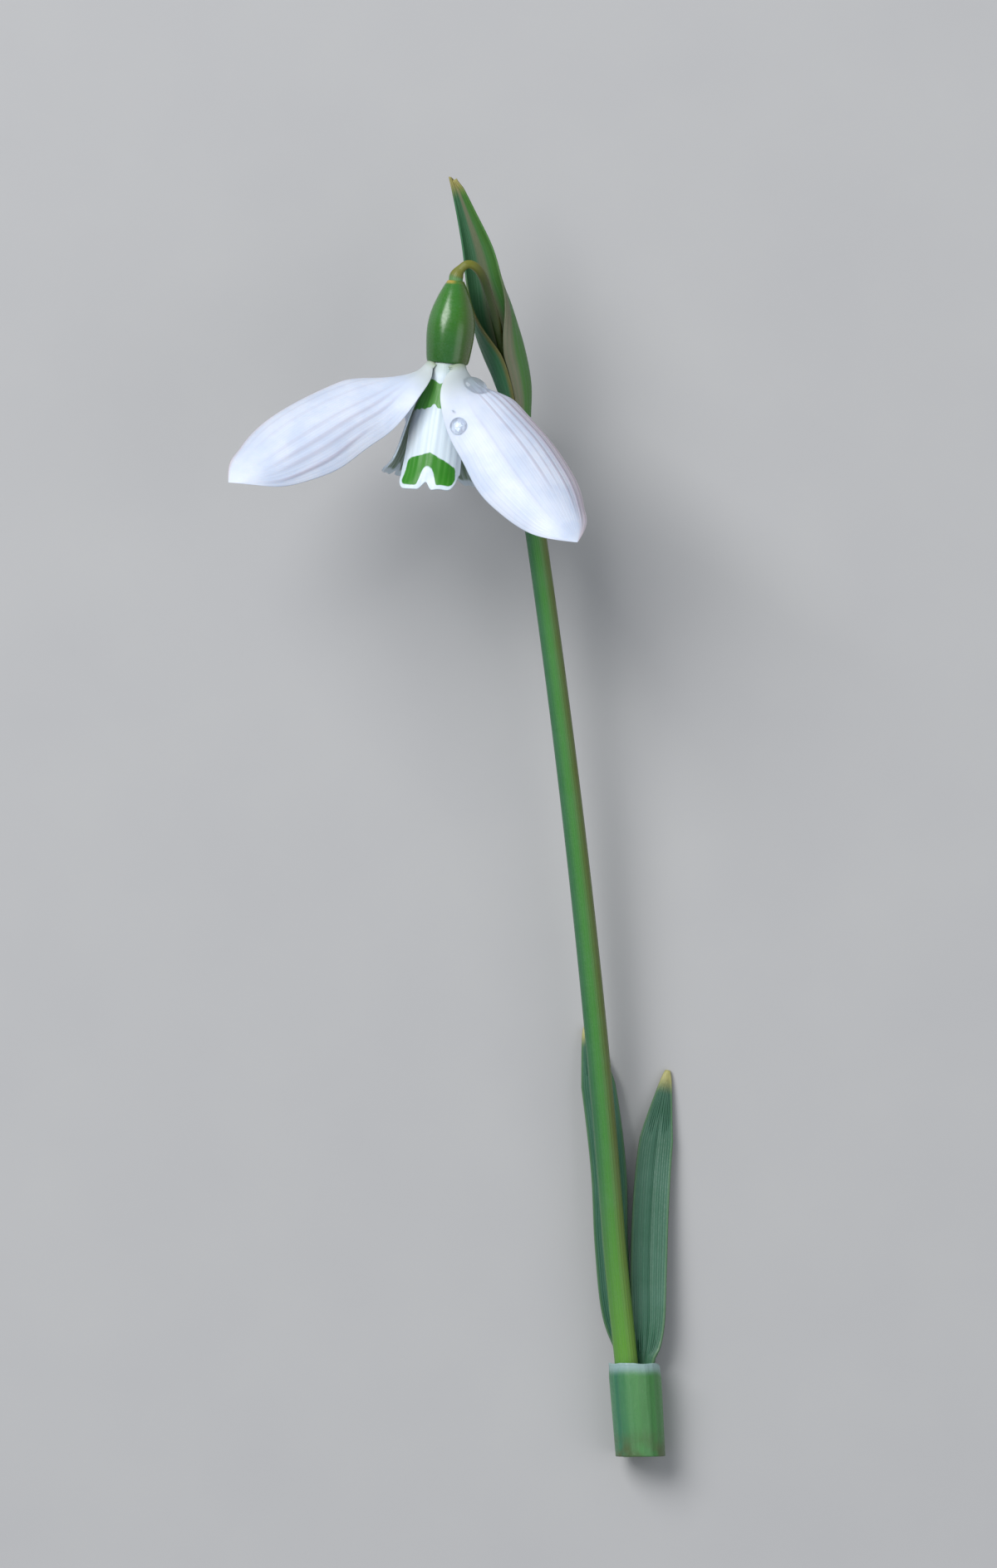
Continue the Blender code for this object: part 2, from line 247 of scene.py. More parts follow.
def trough(route: Array, radius: Array, half_arc: Array, facing: Array, across: Array) -> Array:
    """Arcs of circles across a route, their backs on it, curled round towards facing.

    Args:
        route: the middle of the strip's back.
        radius: radius of each arc.
        half_arc: half the turn of each arc, in radians.
        facing: the way that the open side faces, one direction for each point of the route.
        across: shares from -1 to 1 at which to place points, one row of them for each point of the route.

    Returns:
        A grid of points.
    """
    along = unit(np.gradient(route, axis=0))
    towards = unit(facing - np.sum(along * facing, axis=1, keepdims=True) * along)
    sideways = np.cross(along, towards)
    turn = (half_arc[:, None] * across)[..., None]
    reach = radius[:, None, None]
    return (
        route[:, None, :]
        + sideways[:, None, :] * reach * np.sin(turn)
        + towards[:, None, :] * reach * (1 - np.cos(turn))
    )


def signed_volume(solid: Solid) -> float:
    """The solid's volume, negative where its faces point inwards: a sixth of the sum of corner products."""
    total = 0.0
    for faces in solid.faces:
        corners = solid.points[faces]
        for k in range(1, faces.shape[1] - 1):
            cross = np.cross(corners[:, k], corners[:, k + 1])
            total += float(np.einsum("ij,ij->i", corners[:, 0], cross).sum()) / 6
    return total


@dataclass(frozen=True)
class PlantFrame:
    """Where the plant's own frame lies in the world, in millimetres."""

    origin: Array

    @classmethod
    def from_sheath(cls) -> "PlantFrame":
        """Reads the frame from the sheath's box, which stands at the plant's foot."""
        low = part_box("sheath")[0]
        return cls(np.array([low[0] / MM + SHEATH_LEFT_REACH, low[1] / MM, 0.0]))

    def piece(
        self, name: str, solid: Solid, finish: "Finish", nodes: Sequence[str], slot: str
    ) -> bpy.types.Object:
        """Makes a closed solid into a dressed object that rides on the plant.

        Args:
            name: the object's name.
            solid: its shape and the numbers kept at its points.
            finish: its material.
            nodes: the frame's nodes that it stands for.
            slot: not used.

        Returns:
            The object.
        """
        turned = signed_volume(solid) < 0
        faces = [face for block in solid.faces for face in (block[:, ::-1] if turned else block).tolist()]
        mesh = bpy.data.meshes.new(name)
        mesh.from_pydata(((solid.points + self.origin) * MM).tolist(), [], faces)
        for field, values in solid.fields.items():
            layer = mesh.attributes.new(field, "FLOAT", "POINT")
            layer.data.foreach_set("value", np.ascontiguousarray(values, dtype=np.float32))
        mesh.shade_smooth()
        mesh.materials.append(finish.material())
        made = bpy.data.objects.new(name, mesh)
        bpy.context.scene.collection.objects.link(made)
        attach(made, BODY)
        if nodes:
            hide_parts(*nodes)
        LOG.info("%s: %d points", name, len(solid.points))
        return made


# ---------------------------------------------------------------- node tools


class Graph:
    """Writes a node tree, one node to a call."""

    def __init__(self, tree: bpy.types.NodeTree) -> None:
        """Takes the tree to write in."""
        self.tree = tree

    def node(self, kind: str, **settings: object) -> bpy.types.Node:
        """Adds a node of a kind and sets its properties."""
        made = self.tree.nodes.new(kind)
        for name, value in settings.items():
            setattr(made, name, value)
        return made

    def feed(self, socket: Socket, value: Socket | float | Sequence[float]) -> None:
        """Links a socket to another one, or sets its value. A colour of three numbers is made opaque."""
        if isinstance(value, bpy.types.NodeSocket):
            self.tree.links.new(value, socket)
        elif socket.type == "RGBA" and len(value) == 3:
            socket.default_value = (*value, 1.0)
        else:
            socket.default_value = value

    def math(self, operation: str, *values: Socket | float) -> Socket:
        """One sum on up to three values."""
        made = self.node("ShaderNodeMath", operation=operation)
        for socket, value in zip(made.inputs, values):
            self.feed(socket, value)
        return made.outputs[0]

    def mix(self, share: Socket | float, first: Socket | Colour, second: Socket | Colour) -> Socket:
        """The first colour where the share is 0 and the second where it is 1."""
        made = self.node("ShaderNodeMix", data_type="RGBA")
        self.feed(made.inputs["Factor"], share)
        self.feed(made.inputs[6], first)
        self.feed(made.inputs[7], second)
        return made.outputs[2]

    def rise(self, value: Socket, start: float, end: float, low: float = 0.0, high: float = 1.0) -> Socket:
        """A smooth step from low at start to high at end."""
        made = self.node("ShaderNodeMapRange", interpolation_type="SMOOTHSTEP")
        for socket, given in zip(made.inputs[:5], (value, start, end, low, high)):
            self.feed(socket, given)
        return made.outputs[0]

    def vector(self, x: Socket | float, y: Socket | float, z: Socket | float) -> Socket:
        """Three values as one vector."""
        made = self.node("ShaderNodeCombineXYZ")
        for socket, value in zip(made.inputs, (x, y, z)):
            self.feed(socket, value)
        return made.outputs[0]

    def noise(self, place: Socket, scale: Socket | float, detail: float = 2.0) -> Socket:
        """Soft noise about one half."""
        made = self.node("ShaderNodeTexNoise")
        self.feed(made.inputs["Vector"], place)
        self.feed(made.inputs["Scale"], scale)
        self.feed(made.inputs["Detail"], detail)
        return made.outputs["Fac"]

    def field(self, name: str) -> Socket:
        """The number kept at the points under a name."""
        return self.node("ShaderNodeAttribute", attribute_type="GEOMETRY", attribute_name=name).outputs["Fac"]

    def place(self) -> Socket:
        """Object coordinates, in metres."""
        return self.node("ShaderNodeTexCoord").outputs["Object"]

    def group(self, tree: bpy.types.NodeTree, **inputs: Socket | float | Colour) -> bpy.types.Node:
        """Places a node group and fills its inputs by name, with spaces for underscores."""
        made = self.node("ShaderNodeGroup", node_tree=tree)
        for name, value in inputs.items():
            self.feed(made.inputs[name.replace("_", " ")], value)
        return made


def new_group(name: str, inputs: dict[str, str], outputs: dict[str, str]) -> tuple[Graph, dict, dict] | None:
    """Starts a shared node group, unless it is there already.

    Args:
        name: the group's name.
        inputs: its inputs, name to socket type.
        outputs: its outputs, name to socket type.

    Returns:
        The group's graph, its inputs' sockets and its outputs' sockets, or None if it exists.
    """
    if name in bpy.data.node_groups:
        return None
    tree = bpy.data.node_groups.new(name, "ShaderNodeTree")
    for socket, kind in inputs.items():
        tree.interface.new_socket(socket, in_out="INPUT", socket_type=kind)
    for socket, kind in outputs.items():
        tree.interface.new_socket(socket, in_out="OUTPUT", socket_type=kind)
    graph = Graph(tree)
    source, sink = graph.node("NodeGroupInput"), graph.node("NodeGroupOutput")
    return graph, {s: source.outputs[s] for s in inputs}, {s: sink.inputs[s] for s in outputs}


NUMBER, VECTOR, COLOUR = "NodeSocketFloat", "NodeSocketVector", "NodeSocketColor"


def fibre_lines() -> bpy.types.NodeTree:
    """Fine lines that run along a piece: a cosine of the share across, bent a little by noise.

    Returns:
        A group with Across, Along, Count, Wander and Sharpness inputs, and Line, from 0 to 1.
    """
    name = "Fibre lines"
    begun = new_group(
        name,
        {"Across": NUMBER, "Along": NUMBER, "Count": NUMBER, "Wander": NUMBER, "Sharpness": NUMBER},
        {"Line": NUMBER},
    )
    if begun:
        graph, given, out = begun
        stretched = graph.vector(graph.math("MULTIPLY", given["Across"], 3.0), given["Along"], 0.0)
        sway = graph.math("SUBTRACT", graph.noise(stretched, 5.0, 3.0), 0.5)
        bent = graph.math("ADD", given["Across"], graph.math("MULTIPLY", sway, given["Wander"]))
        turns = graph.math("MULTIPLY", graph.math("MULTIPLY", bent, given["Count"]), math.pi)
        wave = graph.math("MULTIPLY_ADD", graph.math("COSINE", turns), 0.5, 0.5)
        line = graph.math("POWER", wave, given["Sharpness"])
        spread = graph.math("MULTIPLY", bent, given["Count"])
        grain = graph.noise(graph.vector(spread, given["Along"], 0.0), 1.3)
        graph.feed(out["Line"], graph.math("MULTIPLY", line, graph.rise(grain, 0.25, 0.65, 0.35, 1.0)))
    return bpy.data.node_groups[name]


def waxy_bloom() -> bpy.types.NodeTree:
    """The pale bloom that rubs off green parts: two sizes of noise over the surface, laid on the colour.

    Returns:
        A group with Colour, Bloom, Place, Scale and Amount inputs, and Colour and Mask outputs.
    """
    name = "Waxy bloom"
    begun = new_group(
        name,
        {"Colour": COLOUR, "Bloom": COLOUR, "Place": VECTOR, "Scale": NUMBER, "Amount": NUMBER},
        {"Colour": COLOUR, "Mask": NUMBER},
    )
    if begun:
        graph, given, out = begun
        broad = graph.rise(graph.noise(given["Place"], given["Scale"], 3.0), 0.3, 0.7)
        fine = graph.noise(given["Place"], graph.math("MULTIPLY", given["Scale"], 14.0), 2.0)
        mask = graph.math("MULTIPLY", graph.math("MULTIPLY_ADD", fine, 0.6, broad), given["Amount"])
        graph.feed(out["Mask"], mask)
        graph.feed(out["Colour"], graph.mix(mask, given["Colour"], given["Bloom"]))
    return bpy.data.node_groups[name]


def soil_specks() -> bpy.types.NodeTree:
    """Tiny dark specks: the middles of a few of the cells that points at random make.

    Returns:
        A group with Place, Scale, Size and Share inputs, and Speck, from 0 to 1.
    """
    name = "Soil specks"
    takes = {"Place": VECTOR, "Scale": NUMBER, "Size": NUMBER, "Share": NUMBER}
    begun = new_group(name, takes, {"Speck": NUMBER})
    if begun:
        graph, given, out = begun
        cells = graph.node("ShaderNodeTexVoronoi")
        graph.feed(cells.inputs["Vector"], given["Place"])
        graph.feed(cells.inputs["Scale"], given["Scale"])
        split = graph.node("ShaderNodeSeparateColor")
        graph.feed(split.inputs[0], cells.outputs["Color"])
        near = graph.math("LESS_THAN", cells.outputs["Distance"], given["Size"])
        chosen = graph.math("LESS_THAN", split.outputs[0], given["Share"])
        graph.feed(out["Speck"], graph.math("MULTIPLY", near, chosen))
    return bpy.data.node_groups[name]


# ---------------------------------------------------------------- finishes


class Paint(NamedTuple):
    """What a finish lays on a surface, each a colour or a number that changes over it."""

    colour: Socket
    roughness: Socket
    height: Socket


@dataclass(frozen=True)
class Finish:
    """A finish of the plant's. Each kind lays on its own paint; these numbers are the same all over."""

    name: str
    relief: float = 0.03  # height of the fine relief, in millimetres
    coat: float = 0.0
    subsurface: float = 0.0
    depth: float = 0.5  # how far light spreads inside, in millimetres

    def paint(self, graph: Graph) -> Paint:
        """The finish's own colour, roughness and height."""
        raise NotImplementedError

    def material(self) -> bpy.types.Material:
        """The finish as a material, made on first use."""
        found = bpy.data.materials.get(self.name)
        if found:
            return found
        made = bpy.data.materials.new(self.name)
        made.use_nodes = True
        graph = Graph(made.node_tree)
        shader = made.node_tree.nodes["Principled BSDF"]
        laid = self.paint(graph)
        graph.feed(shader.inputs["Base Color"], laid.colour)
        graph.feed(shader.inputs["Roughness"], laid.roughness)
        bump = graph.node("ShaderNodeBump")
        graph.feed(bump.inputs["Distance"], self.relief * MM)
        graph.feed(bump.inputs["Height"], laid.height)
        graph.feed(shader.inputs["Normal"], bump.outputs["Normal"])
        shader.inputs["Coat Weight"].default_value = self.coat
        shader.inputs["Coat Roughness"].default_value = 0.18
        shader.inputs["Subsurface Weight"].default_value = self.subsurface
        shader.inputs["Subsurface Radius"].default_value = (1.0, 0.8, 0.7)
        shader.inputs["Subsurface Scale"].default_value = self.depth * MM
        return made


@dataclass(frozen=True)
class PetalFinish(Finish):
    """White petal flesh: cool white, lilac in the grooves partly as painted shade, a lilac painted shade along one
    side, cream and clear green at the claw.
    """

    white: Colour = (0.62, 0.70, 0.86)
    sheen: Colour = (0.72, 0.78, 0.91)
    # lilac-grey of the veins and grooves: partly the veins' own tint, partly painted shade in the recessed grooves
    groove: Colour = (0.37, 0.32, 0.41)
    # painted shade: the lilac-grey laid over one side of an outer petal, where the shade field is
    margin: Colour = (0.61, 0.53, 0.58)
    claw: Colour = (0.52, 0.58, 0.56)
    foot: Colour = (0.36, 0.44, 0.32)
    speck: Colour = (0.07, 0.06, 0.06)

    def paint(self, graph: Graph) -> Paint:
        """Veins follow the petal; grooves come from the numbers kept at its points."""
        across, along, place = graph.field("across"), graph.field("along"), graph.place()
        groove = graph.field("groove")
        veins = graph.group(
            fibre_lines(), Across=across, Along=along, Count=40.0, Wander=0.04, Sharpness=3.0
        ).outputs["Line"]
        veins = graph.math("MULTIPLY", veins, graph.rise(along, 0.12, 0.40))
        veins = graph.math("MULTIPLY", veins, graph.rise(along, 0.99, 0.75))
        mottle = graph.noise(place, 260.0, 3.0)
        colour = graph.mix(graph.rise(mottle, 0.35, 0.65), self.white, self.sheen)
        colour = graph.mix(graph.math("MULTIPLY", veins, 0.10), colour, self.groove)
        # Painted shade: the lilac-grey margin colour over the side that the shade field marks.
        colour = graph.mix(graph.math("MULTIPLY", graph.field("shade"), 0.85), colour, self.margin)
        # Partly painted shade: the grooves, already cut into the surface, are darkened further towards the groove
        # colour.
        colour = graph.mix(graph.math("MULTIPLY", groove, 0.85), colour, self.groove)
        colour = graph.mix(graph.rise(along, 0.16, 0.03, 0.0, 0.8), colour, self.claw)
        colour = graph.mix(graph.rise(along, 0.03, 0.0), colour, self.foot)
        specks = graph.group(
            soil_specks(), Place=place, Scale=420.0, Size=0.035, Share=0.012
        ).outputs["Speck"]
        colour = graph.mix(specks, colour, self.speck)
        cells = graph.noise(place, 9000.0, 1.0)
        roughness = graph.rise(cells, 0.3, 0.7, 0.38, 0.52)
        height = graph.math("MULTIPLY_ADD", cells, 0.35, graph.math("MULTIPLY", veins, -0.4))
        return Paint(colour, roughness, height)


@dataclass(frozen=True)
class InnerPetalFinish(Finish):
    """White flesh with sharp green marks outside, green stripes down the inside partly darkened as painted shade, and
    a grey painted shadow over one side of the blade.
    """

    white: Colour = (0.68, 0.78, 0.86)
    rib: Colour = (0.52, 0.64, 0.70)
    mark: Colour = (0.025, 0.22, 0.006)
    mark_pale: Colour = (0.10, 0.34, 0.05)
    # green of the inside stripes, darkened as painted shade for the hollow inside of the cup
    stripe: Colour = (0.065, 0.150, 0.015)
    foot: Colour = (0.46, 0.56, 0.54)
    # painted shadow: the grey that an outer petal casts, laid over one side of the blade
    painted_shadow: Colour = (0.44, 0.43, 0.42)

    def paint(self, graph: Graph) -> Paint:
        """The marks' edges come from the distance kept at the points, less a little noise."""
        across, along, place = graph.field("across"), graph.field("along"), graph.place()
        outside = graph.rise(graph.field("face"), -0.2, 0.2)
        ribs = graph.group(
            fibre_lines(), Across=across, Along=along, Count=13.0, Wander=0.02, Sharpness=2.0
        ).outputs["Line"]
        colour = graph.mix(graph.math("MULTIPLY", ribs, 0.22), self.white, self.rib)
        colour = graph.mix(graph.rise(along, 0.10, 0.0), colour, self.foot)
        # Painted shadow: grey over one side of the lower blade, where an outer petal casts shade.
        painted_shadow_share = graph.math("MULTIPLY", graph.rise(across, 0.3, 0.9, 0.0, 0.7), graph.rise(along, 0.8, 0.5))
        colour = graph.mix(painted_shadow_share, colour, self.painted_shadow)
        ragged = graph.math("MULTIPLY", graph.math("SUBTRACT", graph.noise(place, 1500.0), 0.5), 0.16)
        edge = graph.math("ADD", graph.field("mark"), ragged)
        marked = graph.math("MULTIPLY", graph.rise(edge, -0.07, 0.07), outside)
        pale = graph.math("ADD", graph.rise(along, 0.55, 0.35, 0.0, 0.45), graph.math("MULTIPLY", ribs, 0.35))
        colour = graph.mix(marked, colour, graph.mix(pale, self.mark, self.mark_pale))
        lines = graph.group(
            fibre_lines(), Across=across, Along=along, Count=9.0, Wander=0.03, Sharpness=0.8
        ).outputs["Line"]
        reach = graph.math("MULTIPLY", graph.rise(along, 0.12, 0.3), graph.rise(graph.field("margin"), 0.5, 0.9))
        inside = graph.math("MULTIPLY", reach, graph.math("SUBTRACT", 1.0, outside))
        # Real green stripes on the inside face, laid broad and dark so that they also paint the shade inside the cup.
        stripes_and_painted_shade = graph.math("MULTIPLY", inside, graph.math("MULTIPLY_ADD", lines, 0.45, 0.5))
        colour = graph.mix(stripes_and_painted_shade, colour, self.stripe)
        cells = graph.noise(place, 9000.0, 1.0)
        height = graph.math("MULTIPLY_ADD", cells, 0.3, graph.math("MULTIPLY", ribs, -0.5))
        return Paint(colour, graph.rise(cells, 0.3, 0.7, 0.36, 0.50), height)


@dataclass(frozen=True)
class OvaryFinish(Finish):
    """Smooth waxy green, darker below, with olive painted shade on one side and a golden ring where the stalk meets
    it.
    """

    green: Colour = (0.030, 0.165, 0.006)
    deep: Colour = (0.016, 0.100, 0.004)
    # painted shade: olive on the side of the ovary away from the key light
    olive: Colour = (0.080, 0.110, 0.004)
    ring: Colour = (0.40, 0.30, 0.05)
    bloom: Colour = (0.10, 0.30, 0.20)
    collar: Colour = (0.42, 0.52, 0.36)

    def paint(self, graph: Graph) -> Paint:
        """The share along it runs from the stalk to the petals."""
        across, along, place = graph.field("across"), graph.field("along"), graph.place()
        colour = graph.mix(graph.rise(along, 0.25, 0.9), self.green, self.deep)
        # Painted shade: the olive side away from the key light.
        colour = graph.mix(graph.rise(across, 0.1, 1.0, 0.0, 0.75), colour, self.olive)
        bloomed = graph.group(
            waxy_bloom(), Colour=colour, Bloom=self.bloom, Place=place, Scale=420.0, Amount=0.07
        ).outputs["Colour"]
        pores = graph.group(soil_specks(), Place=place, Scale=2600.0, Size=0.22, Share=0.5).outputs["Speck"]
        colour = graph.mix(graph.math("MULTIPLY", pores, 0.10), bloomed, self.bloom)
        ring = graph.math("MULTIPLY", graph.rise(along, 0.05, 0.02), graph.rise(across, 0.2, -0.5, 0.1, 1.0))
        colour = graph.mix(ring, colour, self.ring)
        colour = graph.mix(graph.rise(along, 0.928, 0.934), colour, self.collar)
        grain = graph.noise(place, 3500.0, 2.0)
        return Paint(colour, graph.rise(grain, 0.3, 0.7, 0.22, 0.34), grain)


class StalkPart(Enum):
    """The two kinds of stalk, and the colour places along each."""

    STEM = "stem"
    FLOWER_STALK = "flower stalk"


@dataclass(frozen=True)
class StalkFinish(Finish):
    """Juicy green stalk: blue-green on its left side, olive on its right, with bloom and fine lines. In the stem's
    colours the bright middle is a painted highlight along the top and the olive right side is painted shade.
    """

    part: StalkPart = StalkPart.STEM
    # stem colours across the stalk: the bright middle stands for painted light on the top, the olive right for
    # painted shade on the side away from the key light
    left: Colour = (0.020, 0.125, 0.042)
    middle: Colour = (0.044, 0.220, 0.022)
    right: Colour = (0.105, 0.135, 0.010)
    foot: Colour = (0.150, 0.370, 0.014)
    tip: Colour = (0.045, 0.190, 0.040)
    bloom: Colour = (0.13, 0.28, 0.17)

    def paint(self, graph: Graph) -> Paint:
        """Colour changes round the stalk and along it."""
        across, along, place = graph.field("across"), graph.field("along"), graph.place()
        # Across the stalk: for the stem, painted highlight along the top and painted shade on the right.
        colour = graph.mix(graph.rise(across, -0.9, 0.0), self.left, self.middle)
        colour = graph.mix(graph.rise(across, 0.0, 0.9), colour, self.right)
        if self.part is StalkPart.STEM:
            colour = graph.mix(graph.rise(along, 0.34, 0.0, 0.0, 0.75), colour, self.foot)
        else:
            arch = graph.math("MULTIPLY", graph.rise(along, 0.45, 0.68), graph.rise(along, 0.97, 0.86))
            colour = graph.mix(arch, colour, self.foot)
            colour = graph.mix(graph.rise(along, 0.86, 0.95), colour, self.tip)
        lines = graph.group(
            fibre_lines(), Across=across, Along=along, Count=9.0, Wander=0.05, Sharpness=1.5
        ).outputs["Line"]
        colour = graph.mix(graph.math("MULTIPLY", lines, 0.09), colour, self.bloom)
        colour = graph.group(
            waxy_bloom(), Colour=colour, Bloom=self.bloom, Place=place, Scale=300.0, Amount=0.10
        ).outputs["Colour"]
        grain = graph.noise(place, 4200.0, 2.0)
        return Paint(colour, graph.rise(grain, 0.3, 0.7, 0.36, 0.52), graph.math("ADD", grain, lines))


@dataclass(frozen=True)
class LeafFinish(Finish):
    """Grey-green leaf with parallel veins, a paler edge and a creamy tip."""

    green: Colour = (0.020, 0.110, 0.056)
    pale: Colour = (0.036, 0.160, 0.088)
    edge: Colour = (0.110, 0.220, 0.080)
    tip: Colour = (0.420, 0.400, 0.150)
    bloom: Colour = (0.140, 0.280, 0.230)
    foot: Colour = (0.060, 0.190, 0.035)

    def paint(self, graph: Graph) -> Paint:
        """The share along runs from the foot to the tip; margin is the distance from the edge."""
        across, along, place = graph.field("across"), graph.field("along"), graph.place()
        veins = graph.group(
            fibre_lines(), Across=across, Along=along, Count=22.0, Wander=0.03, Sharpness=1.6
        ).outputs["Line"]
        veins = graph.math("MULTIPLY", veins, graph.rise(along, 0.95, 0.7))
        colour = graph.mix(graph.math("MULTIPLY", veins, 0.7), self.green, self.pale)
        colour = graph.mix(graph.rise(along, 0.35, 0.05, 0.0, 0.7), colour, self.foot)
        colour = graph.group(
            waxy_bloom(), Colour=colour, Bloom=self.bloom, Place=place, Scale=260.0, Amount=0.14
        ).outputs["Colour"]
        colour = graph.mix(graph.rise(graph.field("margin"), 0.25, 0.02, 0.0, 0.5), colour, self.edge)
        colour = graph.mix(graph.rise(along, 0.955, 0.99), colour, self.tip)
        grain = graph.noise(place, 3800.0, 2.0)
        height = graph.math("MULTIPLY_ADD", grain, 0.5, graph.math("MULTIPLY", veins, 0.5))
        return Paint(colour, graph.rise(grain, 0.3, 0.7, 0.40, 0.58), height)


@dataclass(frozen=True)
class SpatheFinish(Finish):
    """Two green keels with papery grey strips between them, a golden edge and creamy points."""

    keel: Colour = (0.036, 0.150, 0.060)
    keel_right: Colour = (0.060, 0.185, 0.026)
    paper: Colour = (0.175, 0.165, 0.100)
    gold: Colour = (0.190, 0.135, 0.025)
    tip: Colour = (0.360, 0.320, 0.100)
    bloom: Colour = (0.110, 0.240, 0.150)

    def paint(self, graph: Graph) -> Paint:
        """The share across runs from the left edge round the back to the right edge."""
        across, along, place = graph.field("across"), graph.field("along"), graph.place()
        veins = graph.group(
            fibre_lines(), Across=across, Along=along, Count=26.0, Wander=0.03, Sharpness=1.6
        ).outputs["Line"]
        colour = graph.mix(graph.rise(across, -0.2, 0.5), self.keel, self.keel_right)
        veins = graph.math("MULTIPLY", veins, graph.rise(along, 0.9, 0.6))
        colour = graph.mix(graph.math("MULTIPLY", veins, 0.22), colour, self.bloom)
        back = graph.math("MULTIPLY", graph.rise(across, -0.26, -0.10), graph.rise(across, 0.26, 0.10))
        side = graph.math("MULTIPLY", graph.rise(across, 0.74, 0.86), graph.rise(along, 0.78, 0.55))
        papery = graph.math("MAXIMUM", graph.math("MULTIPLY", back, 0.8), side)
        colour = graph.mix(papery, colour, graph.mix(graph.math("MULTIPLY", veins, 0.3), self.paper, self.keel))
        edging = graph.rise(graph.field("margin"), 0.55, 0.1, 0.0, 0.75)
        gilt = graph.math("MULTIPLY", edging, graph.rise(across, -0.5, -0.8))
        gilt = graph.math("MULTIPLY", gilt, graph.rise(along, 0.75, 0.6))
        colour = graph.mix(gilt, colour, self.gold)
        colour = graph.mix(graph.rise(along, 0.93, 0.99), colour, self.tip)
        colour = graph.group(
            waxy_bloom(), Colour=colour, Bloom=self.bloom, Place=place, Scale=320.0, Amount=0.08
        ).outputs["Colour"]
        grain = graph.noise(place, 4200.0, 2.0)
        height = graph.math("MULTIPLY_ADD", grain, 0.5, graph.math("MULTIPLY", veins, 0.4))
        return Paint(colour, graph.rise(grain, 0.3, 0.7, 0.42, 0.58), height)


@dataclass(frozen=True)
class SheathFinish(Finish):
    """Pale green, finely striped, with a clear whitish rim and a darker, earthy foot."""

    green: Colour = (0.050, 0.210, 0.050)
    blue: Colour = (0.032, 0.160, 0.090)
    stripe: Colour = (0.130, 0.330, 0.130)
    rim: Colour = (0.320, 0.460, 0.470)
    foot: Colour = (0.085, 0.120, 0.045)

    def paint(self, graph: Graph) -> Paint:
        """Stripes follow the turn round the sheath, as two waves of its cosine and sine."""
        across, along, lift = graph.field("across"), graph.field("along"), graph.field("lift")
        place = graph.place()
        turn = graph.math("ARCTAN2", lift, across)
        lines = graph.group(
            fibre_lines(), Across=graph.math("DIVIDE", turn, math.pi), Along=along, Count=17.0, Wander=0.03,
            Sharpness=1.0,
        ).outputs["Line"]
        broad = graph.group(
            fibre_lines(), Across=graph.math("DIVIDE", turn, math.pi), Along=along, Count=4.0, Wander=0.05,
            Sharpness=1.0,
        ).outputs["Line"]
        colour = graph.mix(graph.rise(across, 0.1, -0.9), self.green, self.blue)
        colour = graph.mix(graph.math("MULTIPLY", broad, 0.55), colour, self.stripe)
        colour = graph.mix(graph.math("MULTIPLY", lines, 0.22), colour, self.stripe)
        stain = graph.math("MULTIPLY", graph.rise(along, 0.35, 0.0), graph.rise(graph.noise(place, 500.0), 0.3, 0.7))
        colour = graph.mix(stain, colour, self.foot)
        colour = graph.mix(graph.rise(along, 0.86, 0.97, 0.0, 0.85), colour, self.rim)
        grain = graph.noise(place, 3500.0, 2.0)
        height = graph.math("MULTIPLY_ADD", grain, 0.5, graph.math("MULTIPLY", lines, 1.0))
        return Paint(colour, graph.rise(grain, 0.3, 0.7, 0.34, 0.50), height)


@dataclass(frozen=True)
class StamenFinish(Finish):
    """White thread and orange anther."""

    thread: Colour = (0.66, 0.72, 0.55)
    anther: Colour = (0.72, 0.33, 0.05)
    tip: Colour = (0.60, 0.40, 0.16)

    def paint(self, graph: Graph) -> Paint:
        """The share along runs from the foot to the tip."""
        along, place = graph.field("along"), graph.place()
        grain = graph.noise(place, 5200.0, 3.0)
        colour = graph.mix(graph.rise(along, 0.16, 0.26), self.thread, self.anther)
        colour = graph.mix(graph.rise(along, 0.88, 1.0), colour, self.tip)
        colour = graph.mix(graph.rise(grain, 0.45, 0.8, 0.0, 0.3), colour, self.thread)
        return Paint(colour, graph.rise(grain, 0.3, 0.7, 0.5, 0.7), grain)


def water() -> bpy.types.Material:
    """Clear water."""
    made = bpy.data.materials.new("Clear water")
    made.use_nodes = True
    shader = made.node_tree.nodes["Principled BSDF"]
    shader.inputs["Base Color"].default_value = (0.97, 0.99, 1.0, 1.0)
    shader.inputs["Roughness"].default_value = 0.0
    shader.inputs["Transmission Weight"].default_value = 1.0
    shader.inputs["IOR"].default_value = 1.333
    return made


# ---------------------------------------------------------------- petals


@dataclass(frozen=True)
class Groove:
    """One groove down a petal: its place across at the foot and at the tip, and how deep and wide it is."""

    foot: float
    tip: float
    depth: float = 0.07
    width: float = 0.035
    start: float = 0.10
    end: float = 0.90


